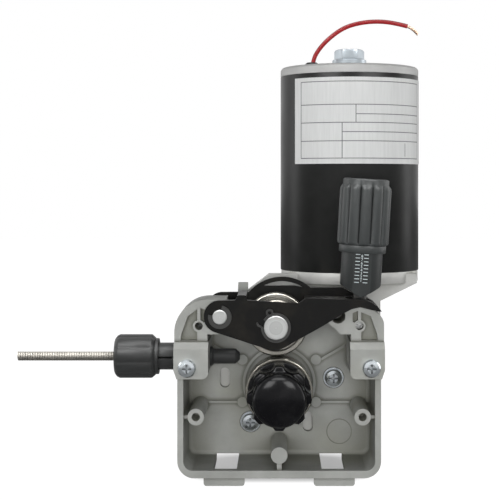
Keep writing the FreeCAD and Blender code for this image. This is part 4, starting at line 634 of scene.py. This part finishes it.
class FEEDER_OT_tension_knob(bpy.types.Operator):
    """Make the ribbed tension knob"""

    bl_idname = "feeder.tension_knob"
    bl_label = "Tension knob"

    def execute(self, context):
        place, down = hinge("knob_turn")
        ribs = sizes().grip_ribs
        rings = [
            (72.9, 0.6, 0), (72.9, 5.5, 0), (71.1, 5.5, 0), (71.1, 10.9, 0), (36.4, 10.9, 0),
            (36.4, 11.7, 0), (36.7, 12.0, 0), (39.9, 12.0, 0), (40.2, 11.8, 0), (40.4, 12.2, 0),
            (40.9, 12.9, 0.5), (41.6, 13.2, 1), (68.2, 13.2, 1), (69.6, 12.9, 0.9), (70.6, 12.1, 0.3),
            (71.0, 11.8, 0), (73.0, 11.8, 0), (73.6, 11.6, 0), (74.0, 10.9, 0), (73.7, 10.3, 0),
            (73.7, 0.6, 0),
        ]
        wave = ribbed(ribs, 0.55)
        bm = rings_body([(h * MM, r * MM, s * 0.13) for h, r, s in rings], ribs * 12, wave)
        bm.transform(upright_to(place, -down))
        settle(bm, "tension_grip", FINISHES["handle_grey"], "knob", ["tension_knob"], 50)
        return {"FINISHED"}


class FEEDER_OT_spring(bpy.types.Operator):
    """Make the tension spring that rides on the handle; the real one shortens as the knob is screwed down"""

    bl_idname = "feeder.spring"
    bl_label = "Tension spring"

    def execute(self, context):
        bm = bmesh.new()
        bm.from_mesh(frame["nodes"]["tension_spring"].data)
        bmesh.ops.remove_doubles(bm, verts=bm.verts, dist=1e-6)
        spring = settle(
            bm, "shortening_spring", FINISHES["spring_steel"], "handle", ["tension_spring"]
        )
        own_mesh(spring)
        return {"FINISHED"}


class FEEDER_OT_plug(bpy.types.Operator):
    """Make the flanged hexagon head on top of the motor"""

    bl_idname = "feeder.plug"
    bl_label = "Motor plug"

    def execute(self, context):
        low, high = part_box("motor_plug")
        foot = Vector(((low.x + high.x) / 2, (low.y + high.y) / 2, low.z))
        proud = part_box("motor_end_cap")[1].z - low.z
        tall = high.z - low.z
        wide = 1.1 * (high.x - low.x) / 2
        flat = math.cos(math.pi / 6)

        def hexagon(angle):
            """A wave that is 0 at six corners and takes a circle between them back to straight sides."""
            return 1 - flat / math.cos(angle % (math.pi / 3) - math.pi / 6)

        flange = proud + 3.6 * MM
        rings = [
            (0, 0.8 * wide, 0), (proud, 0.8 * wide, 0), (proud, 1.14 * wide, 0),
            (flange - 0.4 * MM, 1.14 * wide, 0), (flange, 1.08 * wide, 0),
            (flange + 0.1 * MM, wide, 1), (tall - 1.2 * MM, wide, 1),
            (tall - 0.3 * MM, 0.93 * wide, 0.6), (tall, 0.86 * wide, 0.3),
        ]
        bm = rings_body(rings, 72, hexagon)
        bm.transform(Matrix.Translation(foot))
        zinc = bright_steel("plug zinc", (0.40, 0.44, 0.47), 0.32)
        settle(bm, "motor_plug_head", zinc, "frame", ["motor_plug"], 28)
        return {"FINISHED"}


class FEEDER_OT_inlet_nut(bpy.types.Operator):
    """Make the ribbed nut that clamps the liner"""

    bl_idname = "feeder.inlet_nut"
    bl_label = "Inlet nut"

    def execute(self, context):
        place, axis = hinge("inlet_nut_turn")
        ribs = sizes().nut_ribs
        long = node_size("inlet_nut").x / MM
        rings = [
            (long, 2.8, 0), (long - 3.2, 2.8, 0), (long - 3.2, 6.3, 0), (3.4, 6.3, 0), (2.6, 7.1, 0),
            (0, 7.1, 0), (0, 9.6, 0), (0.3, 9.9, 0.2), (1.4, 11.0, 1), (2.0, 11.2, 1),
            (long - 2.6, 11.2, 1), (long - 1.2, 10.5, 0.9), (long - 0.3, 9.4, 0.3), (long, 8.8, 0),
            (long, 2.8, 0),
        ]
        wave = ribbed(ribs, 0.35)
        shaped = [(h * MM, r * MM, s * 0.09) for h, r, s in rings]
        bm = rings_body(shaped, ribs * 14, wave, ring_shut=True)
        bm.transform(upright_to(place, axis))
        settle(bm, "liner_nut", FINISHES["nut_black"], "nut", ["inlet_nut"], 40)
        return {"FINISHED"}


class FEEDER_OT_liner(bpy.types.Operator):
    """Wind the steel liner that carries the wire to the feeder"""

    bl_idname = "feeder.liner"
    bl_label = "Liner"

    def execute(self, context):
        low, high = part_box("inlet_liner")
        wire = sizes().liner_wire
        radius = sizes().liner_radius - wire / 2
        start, end = low.x + wire / 2, high.x - wire / 2
        turns = int((end - start) / (wire * 1.02))
        steps = 14
        curve = bpy.data.curves.new("steel_liner", "CURVE")
        curve.dimensions = "3D"
        curve.bevel_depth = wire / 2
        curve.bevel_resolution = 2
        curve.use_fill_caps = True
        spline = curve.splines.new("POLY")
        spline.points.add(turns * steps)
        for index, point in enumerate(spline.points):
            angle = 2 * math.pi * index / steps
            along = start + (end - start) * index / (turns * steps)
            point.co = (along, radius * math.cos(angle), radius * math.sin(angle), 1)
        spline.use_smooth = True
        liner = bpy.data.objects.new("steel_liner", curve)
        bpy.context.scene.collection.objects.link(liner)
        dress(liner, FINISHES["liner_steel"])
        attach(liner, "frame")
        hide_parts("inlet_liner")
        return {"FINISHED"}


def curve_through(name, route, radius):
    """A smooth round cord through a route of control points."""
    curve = bpy.data.curves.new(name, "CURVE")
    curve.dimensions = "3D"
    curve.bevel_depth = radius
    curve.bevel_resolution = 5
    curve.resolution_u = 12
    curve.use_fill_caps = True
    spline = curve.splines.new("NURBS")
    spline.points.add(len(route) - 1)
    for point, place in zip(spline.points, route):
        point.co = (*place, 1)
    spline.order_u = 3
    spline.use_endpoint_u = True
    made = bpy.data.objects.new(name, curve)
    bpy.context.scene.collection.objects.link(made)
    return made


def line_of(cord):
    """The points of a cord's own line, read from a bare copy of it."""
    bare = bpy.data.objects.new("bare_line", cord.data.copy())
    bare.data.bevel_depth = 0
    bpy.context.scene.collection.objects.link(bare)
    bpy.context.view_layer.update()
    mesh = bpy.data.meshes.new_from_object(bare.evaluated_get(bpy.context.evaluated_depsgraph_get()))
    points = [vert.co.copy() for vert in mesh.vertices]
    bpy.data.meshes.remove(mesh)
    bpy.data.objects.remove(bare)
    return points


def twisted_strands(name, line, radius):
    """Seven strands that twist about a line and open a little towards its end."""
    strands = bpy.data.curves.new(name, "CURVE")
    strands.dimensions = "3D"
    strands.bevel_depth = radius
    strands.bevel_resolution = 3
    strands.use_fill_caps = True
    for index in range(7):
        spline = strands.splines.new("POLY")
        spline.points.add(len(line) - 1)
        spline.use_smooth = True
        reach = 0 if index == 6 else 2.05 * radius
        for step, (point, spot) in enumerate(zip(spline.points, line)):
            share = step / (len(line) - 1)
            angle = math.radians(60 * index + 200 * share)
            around = Vector((0.3 * math.sin(angle), math.cos(angle), math.sin(angle)))
            point.co = (*(spot + around * reach * (1 + 0.35 * share ** 3)), 1)
    made = bpy.data.objects.new(name, strands)
    bpy.context.scene.collection.objects.link(made)
    return made


class FEEDER_OT_lead(bpy.types.Operator):
    """Lay the motor's red lead and its bare strands"""

    bl_idname = "feeder.lead"
    bl_label = "Motor lead"

    def execute(self, context):
        low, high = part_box("lead_grommet")
        x, y = (low.x + high.x) / 2, (low.y + high.y) / 2
        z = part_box("motor_end_cap")[1].z - 1.2 * MM
        steps = [
            (0, 0, -3.4), (0.3, 0, 4.2), (4.2, -0.6, 11), (10.4, -1.2, 17.2), (18, -1.6, 22.4),
            (27.4, -1.8, 25), (37.4, -1.9, 25.6), (46.4, -1.9, 24.4), (52.4, -1.9, 22.8),
        ]
        route = [Vector((x + a * MM, y + b * MM, z + c * MM)) for a, b, c in steps]
        lead = curve_through("red_lead_sheath", route, sizes().lead_radius)
        dress(lead, FINISHES["lead_red"])
        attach(lead, "frame")
        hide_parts("red_lead")
        ahead = (route[-1] - route[-2]).normalized()
        bend = route[-1] + ahead * 2.6 * MM
        tip = bend + Vector((3.2, 0, -3.7)) * MM
        core = curve_through("core_line", [route[-1] - ahead * MM, bend, tip], sizes().strand_radius)
        bare = twisted_strands("bare_strands", line_of(core), sizes().strand_radius)
        bpy.data.objects.remove(core)
        dress(bare, FINISHES["copper"])
        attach(bare, "frame")
        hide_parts("lead_conductor")
        points = line_of(lead)
        return {"FINISHED"}


def digit_mesh(digit, spot):
    """One digit as a thin upright mesh at a place."""
    words = bpy.data.curves.new("digit", "FONT")
    words.body = str(digit)
    words.size = 2.1 * MM
    words.align_x = "CENTER"
    words.align_y = "CENTER"
    words.extrude = 0.04 * MM
    words.resolution_u = 2
    shown = bpy.data.objects.new("digit", words)
    bpy.context.scene.collection.objects.link(shown)
    bpy.context.view_layer.update()
    flat = bpy.data.meshes.new_from_object(shown.evaluated_get(bpy.context.evaluated_depsgraph_get()))
    flat.transform(Matrix.Translation(spot) @ Matrix.Rotation(math.pi / 2, 4, "X"))
    bpy.data.objects.remove(shown)
    return flat


class FEEDER_OT_scale(bpy.types.Operator):
    """Print the scale on the front of the tension housing"""

    bl_idname = "feeder.scale"
    bl_label = "Tension scale"

    def execute(self, context):
        place, down = hinge("knob_turn")
        to_rod = upright_to(place, -down)
        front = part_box("tension_housing")[0].y
        face = to_rod.inverted() @ Vector((place.x, front, place.z))
        pitch = sizes().tick_pitch
        middle, foot = -0.45 * MM, 21.6 * MM
        bm = bmesh.new()
        for index in range(9):
            height = foot + index * pitch
            for side in (-1, 1):
                tick = bmesh.ops.create_cube(bm, size=1)["verts"]
                bmesh.ops.scale(bm, verts=tick, vec=(2.3 * MM, 0.1 * MM, 0.34 * MM))
                place_at = (middle + side * 2.15 * MM, face.y, height)
                bmesh.ops.translate(bm, verts=tick, vec=place_at)
        for index in range(8):
            flat = digit_mesh(index + 1, (middle, face.y, foot + 0.9 * MM + index * pitch))
            bm.from_mesh(flat)
            bpy.data.meshes.remove(flat)
        bm.transform(to_rod)
        settle(bm, "tension_scale", FINISHES["scale_ink"], "housing")
        return {"FINISHED"}


class FEEDER_OT_edges(bpy.types.Operator):
    """Soften the sharp edges of the frame's castings and pressings"""

    bl_idname = "feeder.edges"
    bl_label = "Soft edges"

    def execute(self, context):
        softened = {
            "feed_plate": 0.5, "gearbox_housing": 0.6, "gearbox_cover": 0.5, "pressure_arm": 0.35,
            "tension_housing": 0.3, "motor_end_cap": 0.3, "motor_can": 0.3, "inlet_guide": 0.25,
            "inlet_nut_ring": 0.2, "pivot_pin": 0.2, "roller_pin": 0.25, "drive_roller": 0.15,
            "pressure_roller": 0.15,
        }
        for name, width in softened.items():
            node = frame["nodes"][name]
            weld = node.modifiers.new("weld", "WELD")
            weld.merge_threshold = 1e-6
            bevel = node.modifiers.new("edge", "BEVEL")
            bevel.width = width * MM
            bevel.segments = 2
            bevel.limit_method = "ANGLE"
            bevel.angle_limit = math.radians(40)
            bevel.use_clamp_overlap = True
            bevel.harden_normals = False
        return {"FINISHED"}


# Stage


def lamp(name, place, target, size, power, size_y=None):
    """A soft lamp that faces a target."""
    light = bpy.data.lights.new(name, "AREA")
    light.energy = power
    light.shape = "RECTANGLE"
    light.size = size
    light.size_y = size_y or size
    made = bpy.data.objects.new(name, light)
    made.location = place
    made.rotation_euler = (Vector(target) - Vector(place)).to_track_quat("-Z", "Y").to_euler()
    bpy.context.scene.collection.objects.link(made)
    return made


class FEEDER_OT_stage(bpy.types.Operator):
    """Set the pale floor, the soft studio light and the camera"""

    bl_idname = "feeder.stage"
    bl_label = "Stage and camera"

    def execute(self, context):
        scene = context.scene
        scene.view_settings.view_transform = "Standard"
        low, high = cad_box
        middle = (low + high) / 2
        self.make_floor(scene, middle, low.z)
        self.make_sky(scene)
        self.make_lamps(middle)
        self.make_camera(scene)
        return {"FINISHED"}

    def make_floor(self, scene, middle, level):
        """A pale floor that shows white, with a painted shadow patch where the plate stands over it."""
        bm = bmesh.new()
        bmesh.ops.create_grid(bm, x_segments=1, y_segments=1, size=3)
        bmesh.ops.translate(bm, verts=bm.verts, vec=(middle.x, middle.y, level - 0.2 * MM))
        mesh = bpy.data.meshes.new("floor")
        bm.to_mesh(mesh)
        bm.free()
        floor = bpy.data.objects.new("floor", mesh)
        scene.collection.objects.link(floor)
        white = bpy.data.materials.new("floor white")
        white.use_nodes = True
        nodes, links = white.node_tree.nodes, white.node_tree.links
        shader_of(white).inputs["Base Color"].default_value = (0.92, 0.92, 0.92, 1)
        shader_of(white).inputs["Roughness"].default_value = 0.9
        glow = nodes.new("ShaderNodeEmission")
        glow.inputs["Color"].default_value = (1, 1, 1, 1)
        ray = nodes.new("ShaderNodeLightPath")
        glow.inputs["Strength"].default_value = 1.1
        plate_low, plate_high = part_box("feed_plate")
        # Painted shadow: less white glow is mixed in under the plate, so the floor there shows darker.
        shadow_patch_centre = ((plate_low.x + plate_high.x) / 2, 33 * MM, 0)
        x, y, _ = parts_of(white, place_of(white, shadow_patch_centre, (1 / 0.046, 1 / 0.036, 1)))
        squares = [calculated(white, "MULTIPLY", value, value) for value in (x, y)]
        fourths = [calculated(white, "MULTIPLY", value, value) for value in squares]
        shadow_patch_glow = spread(white, calculated(white, "ADD", *fourths), 0.3, 1.5, 0.3, 0.93)
        mix = nodes.new("ShaderNodeMixShader")
        links.new(calculated(white, "MULTIPLY", ray.outputs["Is Camera Ray"], shadow_patch_glow), mix.inputs["Fac"])
        links.new(shader_of(white).outputs[0], mix.inputs[1])
        links.new(glow.outputs[0], mix.inputs[2])
        links.new(mix.outputs[0], nodes["Material Output"].inputs["Surface"])
        dress(floor, white)

    def make_lamps(self, middle):
        """One broad front lamp, two rim lamps, and lamps that only show as shine."""
        front = lamp("front", (middle.x, -1.2, 0), middle, 0.8, 15.5, 0.5)
        front.visible_glossy = False
        for side, x in (("left", -0.65), ("right", 0.55)):
            lamp(side + "_rim", (x, 0.2, 0.1), middle, 0.2, 1.0, 0.7)
            shine = lamp(side + "_shine", (x * 0.8, -0.6, 0.7), middle, 0.5, 9)
            shine.visible_diffuse = False
        shine = lamp("top_shine", (middle.x, -0.25, 0.9), middle, 0.6, 5, 0.3)
        shine.visible_diffuse = False

    def make_camera(self, scene):
        """The photograph's viewpoint, straight in front of the drive roller."""
        camera = bpy.data.objects.new("camera", bpy.data.cameras.new("camera"))
        camera.data.lens = sizes().lens
        camera.data.shift_x = (PHOTO_HEIGHT / 2 - 0.5 - AXIS_AT) / PHOTO_HEIGHT
        camera.data.shift_y = (HORIZON_AT - PHOTO_HEIGHT / 2) / PHOTO_HEIGHT
        camera.data.clip_start = 0.05
        shaft_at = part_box("drive_roller")[0].x + node_size("drive_roller").x / 2
        camera.location = (shaft_at, CAMERA_BACK, CAMERA_LEVEL)
        camera.rotation_euler = (math.radians(90), 0, 0)
        scene.collection.objects.link(camera)
        scene.camera = camera

    def make_sky(self, scene):
        """A world that shows white and lights softly."""
        world = bpy.data.worlds.new("studio")
        scene.world = world
        world.use_nodes = True
        nodes, links = world.node_tree.nodes, world.node_tree.links
        back = nodes["Background"]
        back.inputs["Color"].default_value = (1, 1, 1, 1)
        ray = nodes.new("ShaderNodeLightPath")
        shown = ray.outputs["Is Camera Ray"]
        for kind in ("Is Glossy Ray", "Is Transmission Ray"):
            either = nodes.new("ShaderNodeMath")
            either.operation = "MAXIMUM"
            links.new(shown, either.inputs[0])
            links.new(ray.outputs[kind], either.inputs[1])
            shown = either.outputs[0]
        level = nodes.new("ShaderNodeMapRange")
        level.inputs["To Min"].default_value = 0.08
        level.inputs["To Max"].default_value = 1.0
        links.new(shown, level.inputs["Value"])
        links.new(level.outputs["Result"], back.inputs["Strength"])


# Add-on

# The operators, in the order in which they run
STEPS = (
    FEEDER_OT_stage,
    FEEDER_OT_finishes,
    FEEDER_OT_lead,
    FEEDER_OT_liner,
    FEEDER_OT_plug,
    FEEDER_OT_inlet_nut,
    FEEDER_OT_star_knob,
    FEEDER_OT_tension_knob,
    FEEDER_OT_spring,
    FEEDER_OT_scale,
    FEEDER_OT_edges,
)


class FEEDER_PT_panel(bpy.types.Panel):
    """Lists the steps that make the feeder"""

    bl_idname = "FEEDER_PT_panel"
    bl_label = "Wire feeder"
    bl_space_type = "VIEW_3D"
    bl_region_type = "UI"
    bl_category = "Feeder"

    def draw(self, context):
        for group in (context.scene.feeder_sizes, context.scene.feeder_colours):
            for name in group.__annotations__:
                self.layout.prop(group, name)
        for step in STEPS:
            self.layout.operator(step.bl_idname)


CLASSES = (FeederSizes, FeederColours, *STEPS, FEEDER_PT_panel)


def register():
    """Adds the classes and the scene's properties."""
    for item in CLASSES:
        bpy.utils.register_class(item)
    bpy.types.Scene.feeder_sizes = PointerProperty(type=FeederSizes)
    bpy.types.Scene.feeder_colours = PointerProperty(type=FeederColours)


def unregister():
    """Takes the classes and the properties away again."""
    del bpy.types.Scene.feeder_colours
    del bpy.types.Scene.feeder_sizes
    for item in reversed(CLASSES):
        bpy.utils.unregister_class(item)


def main():
    """Makes the whole feeder."""
    register()
    for step in STEPS:
        area, _, name = step.bl_idname.partition(".")
        getattr(getattr(bpy.ops, area), name)()


if __name__ == "__main__":
    main()
